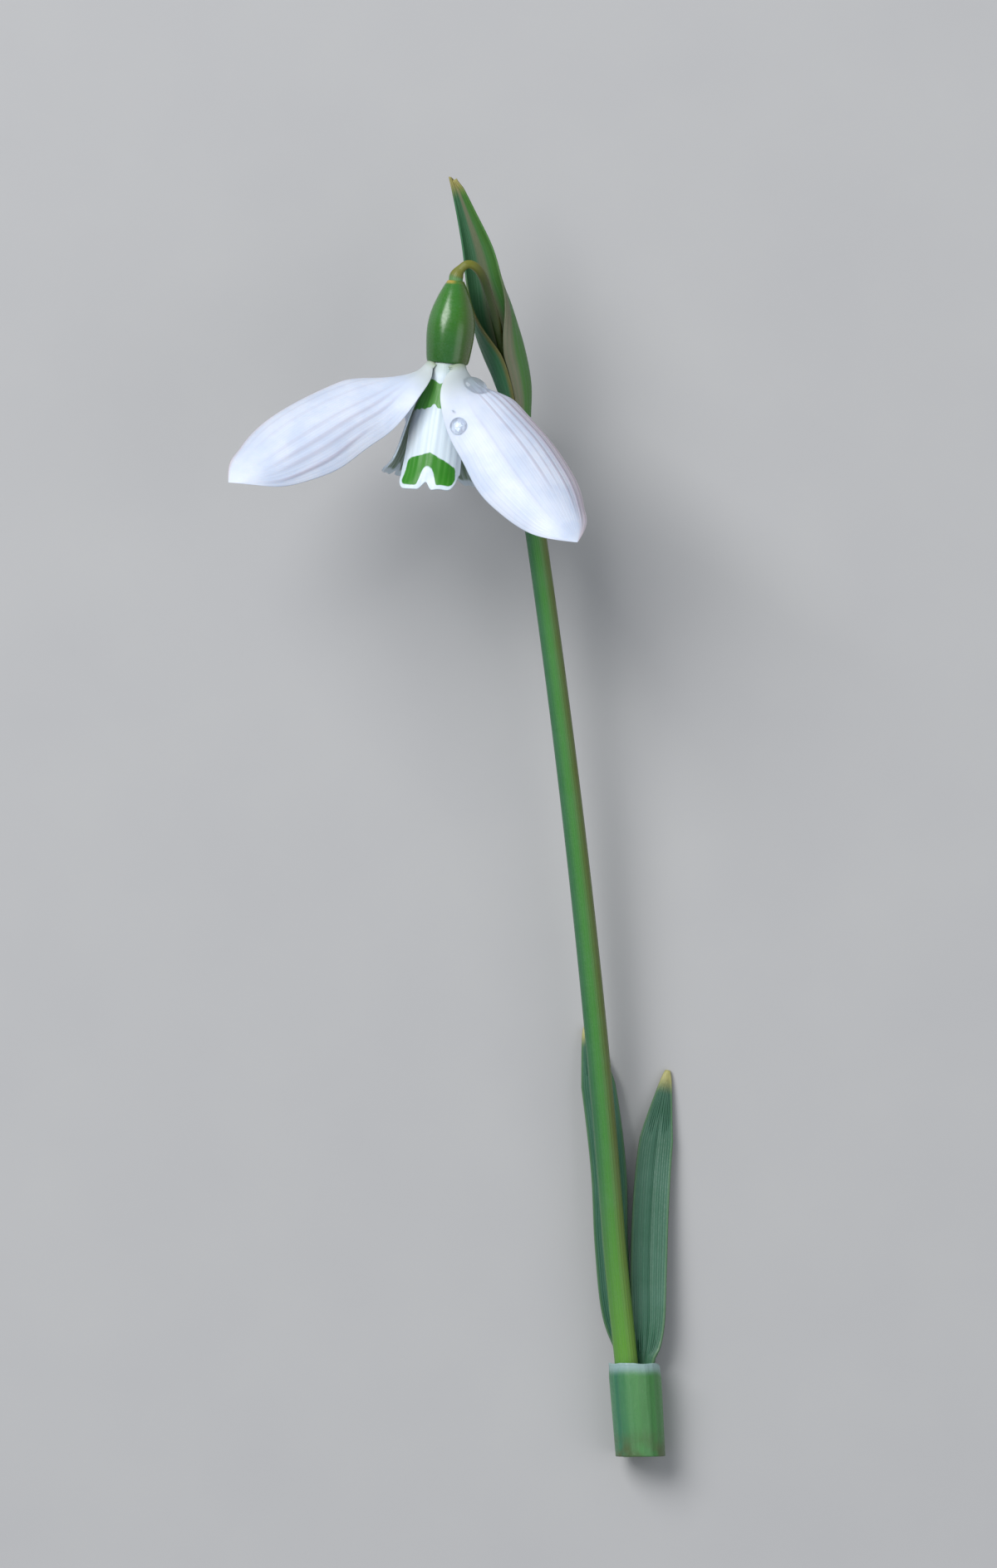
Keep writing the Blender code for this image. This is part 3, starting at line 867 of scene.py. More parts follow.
@dataclass
class Petal:
    """A petal as a midrib that opens away from the flower's axis, with a cupped arc across it.

    Angles are in degrees, sizes in millimetres, and places along it run from 0 to 1.
    """

    name: str
    azimuth: float
    length: float
    claw_radius: float
    opening: tuple[float, float, float]
    shoulder: float
    roll: float = 0.0
    rolled_by: float = 0.3
    half_width: float = 6.0
    fullness: tuple[float, float] = (1.0, 1.0)
    tip_power: float = 0.6
    claw_half_width: float = 1.0
    cup: float = 55.0
    bend: float = 0.0
    wall: float = 0.34
    rim_wall: float = 0.12
    rows: int = 150
    columns: int = 101
    grooves: tuple[Groove, ...] = ()
    claw_turn: float = 0.0  # degrees by which the claw sits further round the ovary than the blade
    claw_flare: float = 0.0  # how much further out the claw starts
    shaded: tuple[float, float] = (1.5, 2.5)  # places across between which a painted lilac shade lies over the flesh

    def half_width_at(self, along: Array, right: bool) -> Array:
        """Half of the flat width on one side."""
        raise NotImplementedError

    def shares(self) -> tuple[Array, Array]:
        """The grid's shares along, from 0 to 1, and across, from -1 to 1."""
        spread = np.linspace(0, 1, self.rows)
        along = (1 - (1 - spread) ** 1.35)[:, None] * np.ones(self.columns)
        edge = np.linspace(-1, 1, self.columns)
        across = (0.85 * edge + 0.15 * np.sin(edge * math.pi / 2))[None, :] * np.ones((self.rows, 1))
        return along, across

    def midrib(self) -> tuple[Array, Array, Array, Array]:
        """The midrib, by adding up small steps in the direction that the opening gives.

        Returns:
            Shares along it, its points, and its sideways and outward directions at each.
        """
        turn = math.radians(self.azimuth)
        radial = math.cos(turn) * ACROSS + math.sin(turn) * UP
        round_axis = np.cross(AXIS, radial)
        share = np.linspace(0, 1, 241)
        start, middle, tip = self.opening
        opened = start + (middle - start) * smooth(0, self.shoulder, share)
        opened = np.radians(opened - (middle - tip) * smooth(self.shoulder * 0.9, 1, share))[:, None]
        bent = np.radians(self.bend * smooth(0.1, 1, share))[:, None]
        along = (np.cos(opened) * AXIS + np.sin(opened) * radial) * np.cos(bent) + np.sin(bent) * round_axis
        steps = (along[1:] + along[:-1]) / 2 * self.length / (len(share) - 1)
        foot = OVARY_TOP + AXIS * (OVARY_LENGTH + PETAL_DROP) + radial * self.claw_radius
        points = foot + np.vstack([np.zeros(3), np.cumsum(steps, axis=0)])
        points = points - AXIS * (0.46 * (1 - smooth(0, 0.05, share)))[:, None]
        fade = (1 - smooth(0, 0.22, share))[:, None]
        shift = np.radians(self.claw_turn) * fade
        points = points + (radial * (np.cos(shift) - 1) + round_axis * np.sin(shift)) * self.claw_radius
        points = points + radial * self.claw_flare * fade
        aside = radial * np.cos(shift) + round_axis * np.sin(shift)
        outward = -np.sin(opened) * AXIS + np.cos(opened) * aside
        sideways = unit(np.cross(along, outward))
        outward = np.cross(sideways, along)
        roll = np.radians(self.roll * smooth(0, self.rolled_by, share))[:, None]
        side = sideways * np.cos(roll) + outward * np.sin(roll)
        face = -sideways * np.sin(roll) + outward * np.cos(roll)
        return share, points, side, face

    def groove_field(self, along: Array, across: Array) -> Array:
        """Depth of all the grooves together, each a bell curve across that fades towards its ends."""
        total = np.zeros_like(along)
        for groove in self.grooves:
            middle = groove.foot + (groove.tip - groove.foot) * along
            fade = smooth(groove.start, groove.start + 0.2, along) * (1 - smooth(groove.end - 0.2, groove.end, along))
            total += groove.depth * bell(across, middle, groove.width) * fade
        return total

    def relief(self, along: Array, across: Array) -> Array:
        """How far the surface stands proud of its smooth shape, in millimetres."""
        return -self.groove_field(along, across)

    def arc_at(self, along: Array) -> Array:
        """Half of the arc across, in radians."""
        open_up = 1 - 0.6 * smooth(0.82, 1.0, along)
        return np.radians(self.cup) * (0.75 + 0.25 * smooth(0.05, 0.5, along)) * open_up

    def middle(self, along: Array, across: Array) -> Array:
        """Points of the petal's middle surface: the midrib plus an arc of the half width's radius."""
        share, points, side, face = self.midrib()

        def at(vectors: Array) -> Array:
            return np.stack([np.interp(along, share, vectors[:, k]) for k in range(3)], axis=-1)

        half = np.where(across < 0, self.half_width_at(along, False), self.half_width_at(along, True))
        arc = self.arc_at(along)
        radius = (half / arc)[..., None]
        angle = (arc * across)[..., None]
        return at(points) + at(side) * radius * np.sin(angle) - at(face) * radius * (1 - np.cos(angle))

    def fields(self, along: Array, across: Array) -> dict[str, Array]:
        """The numbers that the finish reads."""
        groove = self.groove_field(along, across)
        # painted shade: how strongly the lilac margin colour is laid over one side of the petal
        shade = smooth(self.shaded[0], self.shaded[1], across) * smooth(0.1, 0.4, along)
        return {"across": across, "along": along, "groove": groove / 0.12, "shade": shade}

    def solid(self) -> Solid:
        """The petal's wall, thick down its middle and thin at its edge."""
        along, across = self.shares()
        surface = self.middle(along, across)
        surface = surface + grid_normals(surface, False) * self.relief(along, across)[..., None]
        thin = np.maximum(np.abs(across) ** 3, smooth(0.9, 1.0, along))
        thickness = self.wall + (self.rim_wall - self.wall) * thin
        made = shell(surface, thickness, self.fields(along, across))
        from_axis = surface - OVARY_TOP
        from_axis = from_axis - (from_axis @ AXIS)[..., None] * AXIS
        if float(np.sum(grid_normals(surface, False) * from_axis)) < 0:
            made.fields["face"] *= -1
        return made

    def spot(self, along: float, across: float) -> tuple[Array, Array]:
        """A point on the petal's outer face and the way out of the petal there."""
        step = 0.004
        near = np.array([along, along + step, along])
        beside = np.array([across, across, across + step])
        here, ahead, next_to = self.middle(near, beside)
        out = unit(np.cross(ahead - here, next_to - here))
        out = out if out[2] > 0 else -out
        return here + out * self.wall / 2, out


@dataclass
class OuterPetal(Petal):
    """A long outer petal: a narrow claw, a full rounded blade and a small beak at the tip."""

    corner: float = 1.2
    wave: float = 0.012
    narrowed: float = 1.0

    def half_width_at(self, along: Array, right: bool) -> Array:
        """A power curve that rises from the claw, closed at the tip by a corner of its own steepness.

        The corner's straight sides and the curve are joined by the fourth-power mean of their inverses.
        """
        power, tip = self.fullness[int(right)], self.tip_power
        u = np.clip((along - 0.02) / 0.98, 0, 1)
        widest = power / (power + tip)
        blade = u**power * (1 - u) ** tip / (widest**power * (1 - widest) ** tip)
        wavy = 1 + self.wave * np.sin(along * (17 if right else 21) + self.azimuth)
        claw = self.claw_half_width * (1 - smooth(0, 0.42, along))
        full = claw + self.half_width * blade * wavy * (1.0 if right else self.narrowed) + 0.05
        sides = self.corner * self.length * (1.0 - along) + 0.02
        return (full**-4.0 + sides**-4.0) ** -0.25

    def relief(self, along: Array, across: Array) -> Array:
        """Grooves, a low midrib and broad soft waves between the veins."""
        blade = smooth(0.08, 0.3, along) * (1 - smooth(0.85, 1, along))
        waves = 0.018 * np.cos(across * 3 * math.pi + 0.6) * blade
        fine = 0.006 * np.cos(across * 22 * math.pi) * blade
        fold = 0.10 * bell(across, 0.0, 0.22) * smooth(0.02, 0.12, along) * (1 - smooth(0.25, 0.6, along))
        return waves + fine + fold - self.groove_field(along, across)


@dataclass
class InnerPetal(Petal):
    """A short inner petal: two round lobes with a notch between them, and two green marks."""

    notch_depth: float = 0.85
    notch_half_width: float = 0.24
    notch_at: float = 0.02
    corner: float = 0.15
    marked: bool = True

    def half_width_at(self, along: Array, right: bool) -> Array:
        """A smooth rise from the claw to the lobes."""
        spread = smooth(-0.06, 0.50, along) * (0.88 + 0.12 * smooth(0.6, 1.0, along))
        return self.claw_half_width + (self.half_width - self.claw_half_width) * spread

    def end_share(self, across: Array) -> Array:
        """Where the petal ends, for each place across: round corners, with a notch near the middle."""
        off = np.abs(across - self.notch_at) / self.notch_half_width
        notch = self.notch_depth / self.length * (1 - smooth(0.0, 1.0, off)) ** 1.2
        lobes = 0.018 * (1 - np.cos((np.abs(across) - 0.45) * math.pi)) * 0.5 + 0.02 * smooth(0.1, 0.45, -across)
        return 1 - notch - lobes - self.corner * smooth(0.55, 1.0, np.abs(across)) ** 2.2

    def shares(self) -> tuple[Array, Array]:
        """The grid's shares, with the last row laid along the notched end."""
        along = np.linspace(0, 1, self.rows)[:, None] * np.ones(self.columns)
        across = np.linspace(-1, 1, self.columns)[None, :] * np.ones((self.rows, 1))
        return along * self.end_share(across), across

    def relief(self, along: Array, across: Array) -> Array:
        """Ribs down the blade, and lobes whose edge rolls outwards beside the notch."""
        ribs = 0.016 * np.cos(across * 9 * math.pi) * smooth(0.15, 0.4, along) * (1 - smooth(0.75, 0.95, along))
        roll = 0.30 * bell(across, self.notch_at, 0.2) * smooth(0.84, 0.95, along)
        middle_fold = -0.08 * bell(across, self.notch_at, 0.12) * smooth(0.3, 0.9, along)
        return ribs + roll + middle_fold

    def mark_distance(self, along: Array, across: Array) -> Array:
        """Distance inside the edge of the nearer green mark, in millimetres, negative outside both.

        Each mark is where all its bounds are passed, so the distance is the least of them: straight
        or bell-shaped bounds above and below, and, at the tip, a parabola that keeps the white arch
        over the notch. A soft least, the logarithm of the sum of falling exponentials, rounds the legs.
        """
        half = self.half_width_at(along, True)
        x, y = across * half, along * self.length
        to_side = (1 - np.abs(across)) * half
        to_end = (self.end_share(across) - along) * self.length
        off = x - self.notch_at * self.half_width
        crown = self.length - 4.12 + np.where(off < 0, 0.38, 0.25) * np.abs(off) - 0.10 * bell(off, 0.0, 0.5)
        arch = self.length - 2.75 + np.where(off > 0, 2.3, 1.45) * off**2
        inset = np.where(across > 0, 0.90, 0.66)
        bounds = np.stack(
            [to_side - inset, to_end - 0.45, (y - crown) * 0.88 + 0.03, (arch - y) * 0.55 + 0.03]
        )
        tip_mark = -np.log(np.exp(-7 * np.maximum(bounds, -3)).sum(axis=0)) / 7
        top = 1.45 + 0.55 * bell(x, 0.1, 0.55)
        bottom = 4.95 - 0.5 * bell(x, 0.35, 0.45) + 0.06 * np.cos(x * 9)
        foot_mark = np.minimum.reduce([to_side - 0.12, (y - top) * 0.9, bottom - y])
        return np.maximum(tip_mark, foot_mark)

    def fields(self, along: Array, across: Array) -> dict[str, Array]:
        """The numbers that the finish reads: margin is the distance from the edge, in millimetres."""
        half = self.half_width_at(along, True)
        to_end = (self.end_share(across) - along) * self.length
        margin = np.minimum((1 - np.abs(across)) * half, to_end)
        mark = self.mark_distance(along, across) if self.marked else np.full_like(along, -1.0)
        return {"across": across, "along": along, "margin": margin, "mark": mark}


@dataclass
class Flower:
    """The hanging flower: three outer petals, three marked inner petals, an ovary, stamens and style."""

    frame: PlantFrame
    stamens: int = 6
    stamen_turn: float = 37.0
    style_length: float = 9.6
    style_radius: float = 0.2

    def outer_petals(self) -> list[OuterPetal]:
        """The three outer petals. The rear one stands under the flower and touches the table."""
        left_grooves = (
            Groove(-0.30, -0.42, 0.05), Groove(-0.48, -0.60, 0.05), Groove(-0.62, -0.86, 0.08, 0.03, 0.3, 0.95),
            Groove(-0.12, -0.20, 0.03), Groove(0.18, 0.26, 0.02), Groove(0.45, 0.55, 0.02),
        )
        right_grooves = (
            Groove(-0.05, -0.08, 0.07, 0.020, 0.02, 0.8), Groove(-0.20, -0.26, 0.05, 0.018, 0.02, 0.8),
            Groove(-0.34, -0.44, 0.09, 0.022, 0.02, 0.92), Groove(-0.52, -0.64, 0.12, 0.026, 0.05, 0.99),
            Groove(-0.74, -0.84, 0.09, 0.03, 0.1, 0.99), Groove(0.30, 0.34, 0.02),
        )
        rear_grooves = tuple(Groove(k, k * 1.15, 0.05) for k in (-0.66, -0.4, -0.14, 0.14, 0.4, 0.66))
        return [
            OuterPetal(
                "outer_petal_left", 159.0, 26.75, 1.95, (52, 64.7, 46.2), 0.12, 41.6, 0.33, 6.24, (0.77, 0.80), 0.60,
                1.17, 56, -3.1, grooves=left_grooves, corner=1.22, claw_turn=-2.5, shaded=(0.62, 1.05),
            ),
            OuterPetal(
                "outer_petal_right", 36.3, 24.6, 2.05, (29, 52.3, 37.9), 0.14, -36.7, 0.22, 6.5, (0.78, 0.72), 0.65,
                1.30, 58, -4.9, grooves=right_grooves, shaded=(-0.35, -0.85), corner=1.66, claw_turn=12,
                narrowed=0.92,
            ),
            OuterPetal(
                "outer_petal_rear", 274.0, 22.68, 1.95, (48, 87, 30), 0.16, 0, 0.3, 5.8, (0.85, 0.85), 0.60,
                1.5, 54, 0, grooves=rear_grooves,
            ),
        ]

    def inner_petals(self) -> list[InnerPetal]:
        """The three inner petals."""
        shared = dict(
            half_width=3.8, claw_half_width=1.3, claw_flare=0.5, wall=0.30, rim_wall=0.20, rows=130, columns=121
        )
        return [
            InnerPetal("inner_petal_front", 102.0, 14.0, 1.25, (19, 9, 22), 0.7, cup=54, **shared),
            InnerPetal("inner_petal_left", 208.0, 12.9, 1.25, (20, 14, 32), 0.7, cup=32, **shared),
            InnerPetal("inner_petal_right", 337.0, 13.2, 1.25, (20, 12, 24), 0.7, cup=56, **shared),
        ]

    def build(self) -> None:
        """Makes every piece of the flower."""
        white = PetalFinish("Petal flesh", relief=0.012, subsurface=0.25, depth=0.35)
        marked = InnerPetalFinish("Marked petal flesh", relief=0.015, subsurface=0.2, depth=0.3)
        for petal in self.outer_petals():
            self.frame.piece(f"{petal.name}_skin", petal.solid(), white, [petal.name], "petal_white")
        for petal in self.inner_petals():
            self.frame.piece(f"{petal.name}_skin", petal.solid(), marked, [petal.name], "inner_petal")
        self.build_ovary()
        self.build_stamens()
        self.build_drops()

    def build_ovary(self) -> None:
        """A turned olive with six faint lobes, a lip at the stalk and a pale collar that holds the petals."""
        stations = (
            (0.0, 0.62), (0.02, 0.84), (0.12, 0.95), (0.5, 1.16), (1.2, 1.50), (2.2, 1.91), (3.4, 2.29),
            (4.6, 2.51), (5.8, 2.56), (7.0, 2.48), (8.1, 2.36), (8.75, 2.26), (8.98, 2.16), (9.04, 1.95),
            (9.06, 1.5), (9.4, 1.35), (9.7, 1.2), (9.75, 0.8),
        )
        profile = smooth_route(stations, 110)
        route = OVARY_TOP + AXIS * profile[:, :1]
        turn = np.linspace(0, 2 * math.pi, 72, endpoint=False)
        swell = smooth(0.3, 4.0, profile[:, 0]) * (1 - smooth(8.5, 9.1, profile[:, 0]))
        lobes = 1 + 0.012 * swell[:, None] * np.cos(6 * turn)
        solid = stalk(route, profile[:, 1], 72, lobes=lobes)
        solid.fields["along"] = np.append(np.repeat(profile[:, 0] / profile[-1, 0], 72), [0.0, 1.0])
        solid.fields["across"] = -solid.fields["across"]
        finish = OvaryFinish("Waxy ovary", relief=0.01, coat=0.35, subsurface=0.08, depth=0.4)
        self.frame.piece("ovary_skin", solid, finish, ["ovary"], "ovary_green")

    def build_stamens(self) -> None:
        """Six anthers with a groove down each, and the style between them."""
        below = OVARY_TOP + AXIS * OVARY_LENGTH
        stations = (
            (0.66, 0.3, 0.13), (0.70, 0.9, 0.13), (0.80, 1.5, 0.15), (0.92, 1.75, 0.28), (1.02, 2.3, 0.36),
            (1.18, 3.4, 0.42), (1.20, 4.6, 0.42), (1.05, 5.8, 0.34), (0.85, 6.8, 0.22), (0.70, 7.4, 0.10),
            (0.66, 7.62, 0.03),
        )
        spots = smooth_route(stations, 60)
        finish = StamenFinish("Anther", relief=0.02)
        ring = np.linspace(0, 2 * math.pi, 20, endpoint=False)
        furrow = 1 - 0.16 * np.cos(2 * ring) * smooth(1.5, 2.2, spots[:, 1])[:, None]
        for number in range(self.stamens):
            turn = math.radians(self.stamen_turn) + number * 2 * math.pi / self.stamens
            radial = math.cos(turn) * ACROSS + math.sin(turn) * UP
            route = below + radial * spots[:, :1] + AXIS * spots[:, 1:2]
            solid = stalk(route, spots[:, 2], 20, reference=radial, lobes=furrow)
            name = f"stamen_{number + 1}"
            self.frame.piece(f"{name}_skin", solid, finish, [name], "anther_orange")
        share = np.linspace(0, 1, 40)
        route = below + AXIS * (0.3 + (self.style_length - 0.3) * share)[:, None]
        radii = self.style_radius * (1 - 0.35 * smooth(0.3, 0.95, share)) * (1 - 0.7 * smooth(0.97, 1.0, share))
        thread = StamenFinish("Style", relief=0.02, anther=(0.60, 0.68, 0.42), tip=(0.55, 0.62, 0.30))
        self.frame.piece("style_skin", stalk(route, radii, 16), thread, ["style"], "style_cream")

    def build_drops(self) -> None:
        """Water drops that cling to the right outer petal: place along, place across, radius and stretch."""
        petal = self.outer_petals()[1]
        clear = Water("Clear water")
        for number, (along, across, radius, stretch) in enumerate(
            (
                (0.229, 0.712, 0.96, 1.0), (0.105, -0.18, 0.98, 1.44),
                (0.16, 0.70, 0.13, 1.4), (0.01, 0.95, 0.16, 1.3),
            )
        ):
            point, out = petal.spot(along, across)
            name = f"water_drop_{number + 1}"
            drop = WaterDrop(point, out, radius, stretch=stretch, upright=0.8)
            self.frame.piece(name, drop.solid(), clear, [], "petal_white")


@dataclass(frozen=True)
class Water(Finish):
    """Clear water, with no paint of its own."""

    def material(self) -> bpy.types.Material:
        """The finish as a material, made on first use."""
        return bpy.data.materials.get("Clear water") or water()


@dataclass
class WaterDrop:
    """A bead of water on a surface: a low dome over a flatter underside."""

    point: Array
    out: Array
    radius: float
    height: float = 0.62
    under: float = 0.10
    stretch: float = 1.0  # of its width, from upper left to lower right
    upright: float = 0.0  # how far it stands towards the light instead of square to the surface

    def solid(self) -> Solid:
        """Rings at even turns from the top to the underside, each with the sine of its turn for radius."""
        out = unit(self.out + self.upright * UP)
        turn = np.linspace(0, math.pi, 26)[1:-1]
        lift = np.where(turn < math.pi / 2, self.height, self.under) * np.cos(turn) * self.radius
        side = unit(np.cross(out, np.cross(ACROSS + 0.35 * AXIS, out)))
        other = np.cross(out, side)
        spin = np.linspace(0, 2 * math.pi, 40, endpoint=False)
        reach = (np.sin(turn) * self.radius)[:, None]
        rings = (
            self.point
            + out * (lift + self.under * self.radius)[:, None, None]
            + side * (reach * np.cos(spin) * self.stretch)[..., None]
            + other * (reach * np.sin(spin))[..., None]
        )
        return lathe(rings, {"along": np.ones(rings.shape[:2])})


# ---------------------------------------------------------------- stem, leaves and sheath


@dataclass
class Shoot:
    """The stem with its sheath and leaves, and the spathe and flower stalk at its top."""

    frame: PlantFrame
    lean: tuple[float, float, float] = (-1.0, -0.055, -0.00045)
    foot_shift: float = 0.65
    foot_length: float = 25.0
    rise: tuple[float, float, float] = (3.4, 0.036, 0.00043)
    stem_radius: float = 1.15
    sheath_length: float = 10.2

    def stem_middle(self, y: Array) -> Array:
        """The middle of the stem: x and z as second powers of y, with x eased into the sheath at the foot."""
        x = self.lean[0] + self.lean[1] * y + self.lean[2] * y**2
        x = x + self.foot_shift * (1 - smooth(0, self.foot_length, y))
        return np.stack([x, y, self.rise[0] + self.rise[1] * y + self.rise[2] * y**2], axis=-1)

    def build(self) -> None:
        """Makes every piece of the shoot."""
        self.build_stem()
        self.build_sheath()
        self.build_leaves()
        self.build_spathe()
        self.build_flower_stalk()

    def build_stem(self) -> None:
        """A stalk with two faint ribs, a clean cut and a slightly swollen node under the spathe."""
        middle = np.linspace(0.15, STEM_LENGTH - 0.2, 200)
        y = np.concatenate([[0.0, 0.04], middle, [STEM_LENGTH, STEM_LENGTH + 0.4]])
        radii = self.stem_radius * (1.08 - 0.12 * smooth(30, 100, y)) * (1 + 0.06 * smooth(109, 113, y))
        closing = 1 - 0.12 * smooth(STEM_LENGTH - 0.1, STEM_LENGTH + 0.4, y)
        radii = radii * np.where(y < 0.01, 0.93, 1.0) * closing
        ring = np.linspace(0, 2 * math.pi, 40, endpoint=False)
        lobes = 1 + 0.018 * np.cos(2 * ring + 0.5) * np.ones((len(y), 1))
        finish = StalkFinish("Stem", relief=0.02, coat=0.08, subsurface=0.08, depth=0.4)
        solid = stalk(self.stem_middle(y), radii, 40, lobes=lobes)
        self.frame.piece("flower_stem_skin", solid, finish, ["flower_stem"], "stem_green")

    def build_sheath(self) -> None:
        """A tube that widens to its mouth, a little lobed by what it holds, with a thin uneven rim."""
        rows, columns = 60, 120
        share = np.linspace(0, 1, rows)[:, None]
        turn = np.linspace(0, 2 * math.pi, columns, endpoint=False)[None, :]
        middle = 0.35 - 0.70 * share
        wide, deep = 2.55 + 0.17 * share, 2.70 + 0.15 * share
        lobed = 1 + 0.012 * np.cos(3 * turn + 1.0) * smooth(0.1, 0.8, share)
        ribs = (0.012 * np.cos(turn * 9 + 1.0) + 0.008 * np.cos(turn * 23)) * np.ones_like(share)
        dip = (0.16 - 0.16 * np.cos(turn - 1.9) + 0.07 * np.cos(5 * turn)) * smooth(0.4, 1.0, share)
        x = middle + (wide * lobed + ribs - 0.02) * np.cos(turn)
        z = deep + 0.175 + (deep * (1 - 0.004 * share) + ribs * 0.5 - 0.02) * np.sin(turn)
        y = self.sheath_length * share - np.maximum(dip, 0)
        surface = np.stack(np.broadcast_arrays(x, y, z), axis=-1)
        thickness = (0.34 - 0.20 * smooth(0.82, 1.0, share)) * np.ones((1, columns))
        fields = {
            "across": np.cos(turn) * np.ones((rows, 1)),
            "lift": np.sin(turn) * np.ones((rows, 1)),
            "along": share * np.ones((1, columns)),
        }
        finish = SheathFinish("Sheath", relief=0.04, subsurface=0.2, depth=0.5)
        solid = shell(surface, thickness, fields, wrap=True)
        self.frame.piece("sheath_skin", solid, finish, ["sheath"], "sheath_pale")

    def build_leaves(self) -> None:
        """Two strap leaves with a channel down each and a hooded tip.

        Each station is the middle, the half width, half the arc across and the turn of the face.
        """
        leaves = {
            "leaf_rear": (
                (0.2, 0.0, 1.05, 1.10, 45, 0), (-0.2, 5.0, 1.10, 1.30, 45, 0), (-0.45, 10.2, 1.15, 1.50, 48, 0),
                (-2.1, 15.5, 1.25, 1.75, 30, 0), (-2.8, 23.0, 1.15, 1.85, 22, 0), (-3.1, 31.0, 0.95, 1.95, 20, 0),
                (-4.1, 39.5, 0.70, 1.90, 18, 0), (-5.5, 46.8, 0.40, 1.60, 12, 0),
            ),
            "leaf_right": (
                (1.55, 0.0, 2.65, 0.75, 20, 37), (1.30, 5.0, 2.65, 0.90, 24, 34), (0.92, 10.0, 2.65, 1.12, 30, 24),
                (1.08, 12.2, 2.65, 1.62, 24, 10), (1.25, 15.0, 2.55, 1.85, 22, 4),
                (1.25, 20.0, 2.20, 2.00, 20, 0), (1.50, 27.5, 1.50, 2.00, 20, 0),
                (2.10, 34.5, 0.85, 1.85, 16, 0), (3.35, 42.0, 0.32, 1.40, 8, 0),
            ),
        }
        finish = LeafFinish("Leaf", relief=0.025, coat=0.05, subsurface=0.08, depth=0.4)
        rows, columns = 200, 61
        spread = np.linspace(0, 1, rows)
        for name, stations in leaves.items():
            spots = smooth_route(stations, rows)
            blunt = np.sqrt(np.clip((1.004 - spread) / 0.13, 0.01, 1))
            half_arc = np.radians(spots[:, 4]) * (1 + 1.1 * bell(spread, 0.97, 0.04))
            turn = np.radians(spots[:, 5])
            facing = np.stack([-np.sin(turn), 0 * turn, np.cos(turn)], axis=-1)
            across = np.linspace(-1, 1, columns)[None, :] * np.ones((rows, 1))
            radius = spots[:, 3] * blunt / half_arc
            surface = trough(spots[:, :3], radius, half_arc, facing, across)
            blade = (smooth(0.2, 0.4, spread) * (1 - smooth(0.93, 1, spread)))[:, None]
            channel = 0.10 * bell(across, 0.0, 0.16) * blade
            veins = 0.012 * np.cos(across * 15 * math.pi) * blade
            surface = surface - grid_normals(surface, False) * (channel - veins)[..., None] * facing_sign(surface)
            thickness = 0.60 - 0.30 * np.abs(across) ** 2.5
            margin = (1 - np.abs(across)) * (spots[:, 3] * blunt)[:, None]
            fields = {"across": across, "along": spread[:, None] * np.ones(columns), "margin": margin}
            self.frame.piece(f"{name}_skin", shell(surface, thickness, fields), finish, [name], "leaf_green")

    def build_spathe(self) -> None:
        """Nearly a tube at its foot, then a trough that narrows to two small points.

        Each station is the middle of the back, the radius and half the arc across.
        """
        rows, columns = 180, 121
        stations = (
            (-12.85, STEM_LENGTH - 0.1, 11.82, 1.25, 178), (-13.05, 115.4, 11.7, 1.50, 179),
            (-13.6, 117.9, 11.85, 1.76, 179), (-14.35, 120.3, 12.05, 2.0, 176), (-15.1, 122.6, 12.4, 2.12, 158),
            (-15.75, 125.0, 12.9, 2.12, 130), (-16.4, 127.6, 13.55, 1.93, 100), (-17.2, 131.1, 14.5, 1.64, 84),
            (-18.6, 135.2, 15.6, 1.06, 66), (-20.05, 139.2, 16.6, 0.58, 45),
        )
        spots = smooth_route(stations, rows)
        spread = np.linspace(0, 1, rows)
        across = np.linspace(-1, 1, columns)[None, :] * np.ones((rows, 1))
        facing = np.array([-0.12, 0.0, 1.0]) * np.ones((rows, 1))
        half_arc = np.radians(spots[:, 4])
        surface = trough(spots[:, :3], spots[:, 3], half_arc, facing, across)
        keels = bell(across, -0.48, 0.16) + bell(across, 0.46, 0.16)
        blade = smooth(0.03, 0.2, spread)[:, None] * (1 - smooth(0.8, 1.0, spread))[:, None]
        proud = (0.12 * keels + 0.008 * np.cos(across * 17 * math.pi)) * blade
        surface = surface - grid_normals(surface, False) * proud[..., None] * facing_sign(surface)
        cut = 0.55 * np.clip(1 - np.abs(across - 0.1), 0, 1) ** 1.5 + 0.45 * smooth(-0.2, 1.0, across)
        fork = smooth(0.95, 1.0, spread)[:, None] * cut
        surface[..., 1] -= fork
        thickness = (0.20 + 0.20 * np.clip(keels, 0, 1)) * np.ones((rows, 1))
        margin = (1 - np.abs(across)) * (spots[:, 3] * half_arc)[:, None]
        fields = {"across": across, "along": spread[:, None] * np.ones(columns), "margin": margin}
        finish = SpatheFinish("Spathe", relief=0.03, subsurface=0.12, depth=0.4)
        self.frame.piece("spathe_skin", shell(surface, thickness, fields), finish, ["spathe"], "spathe_green")

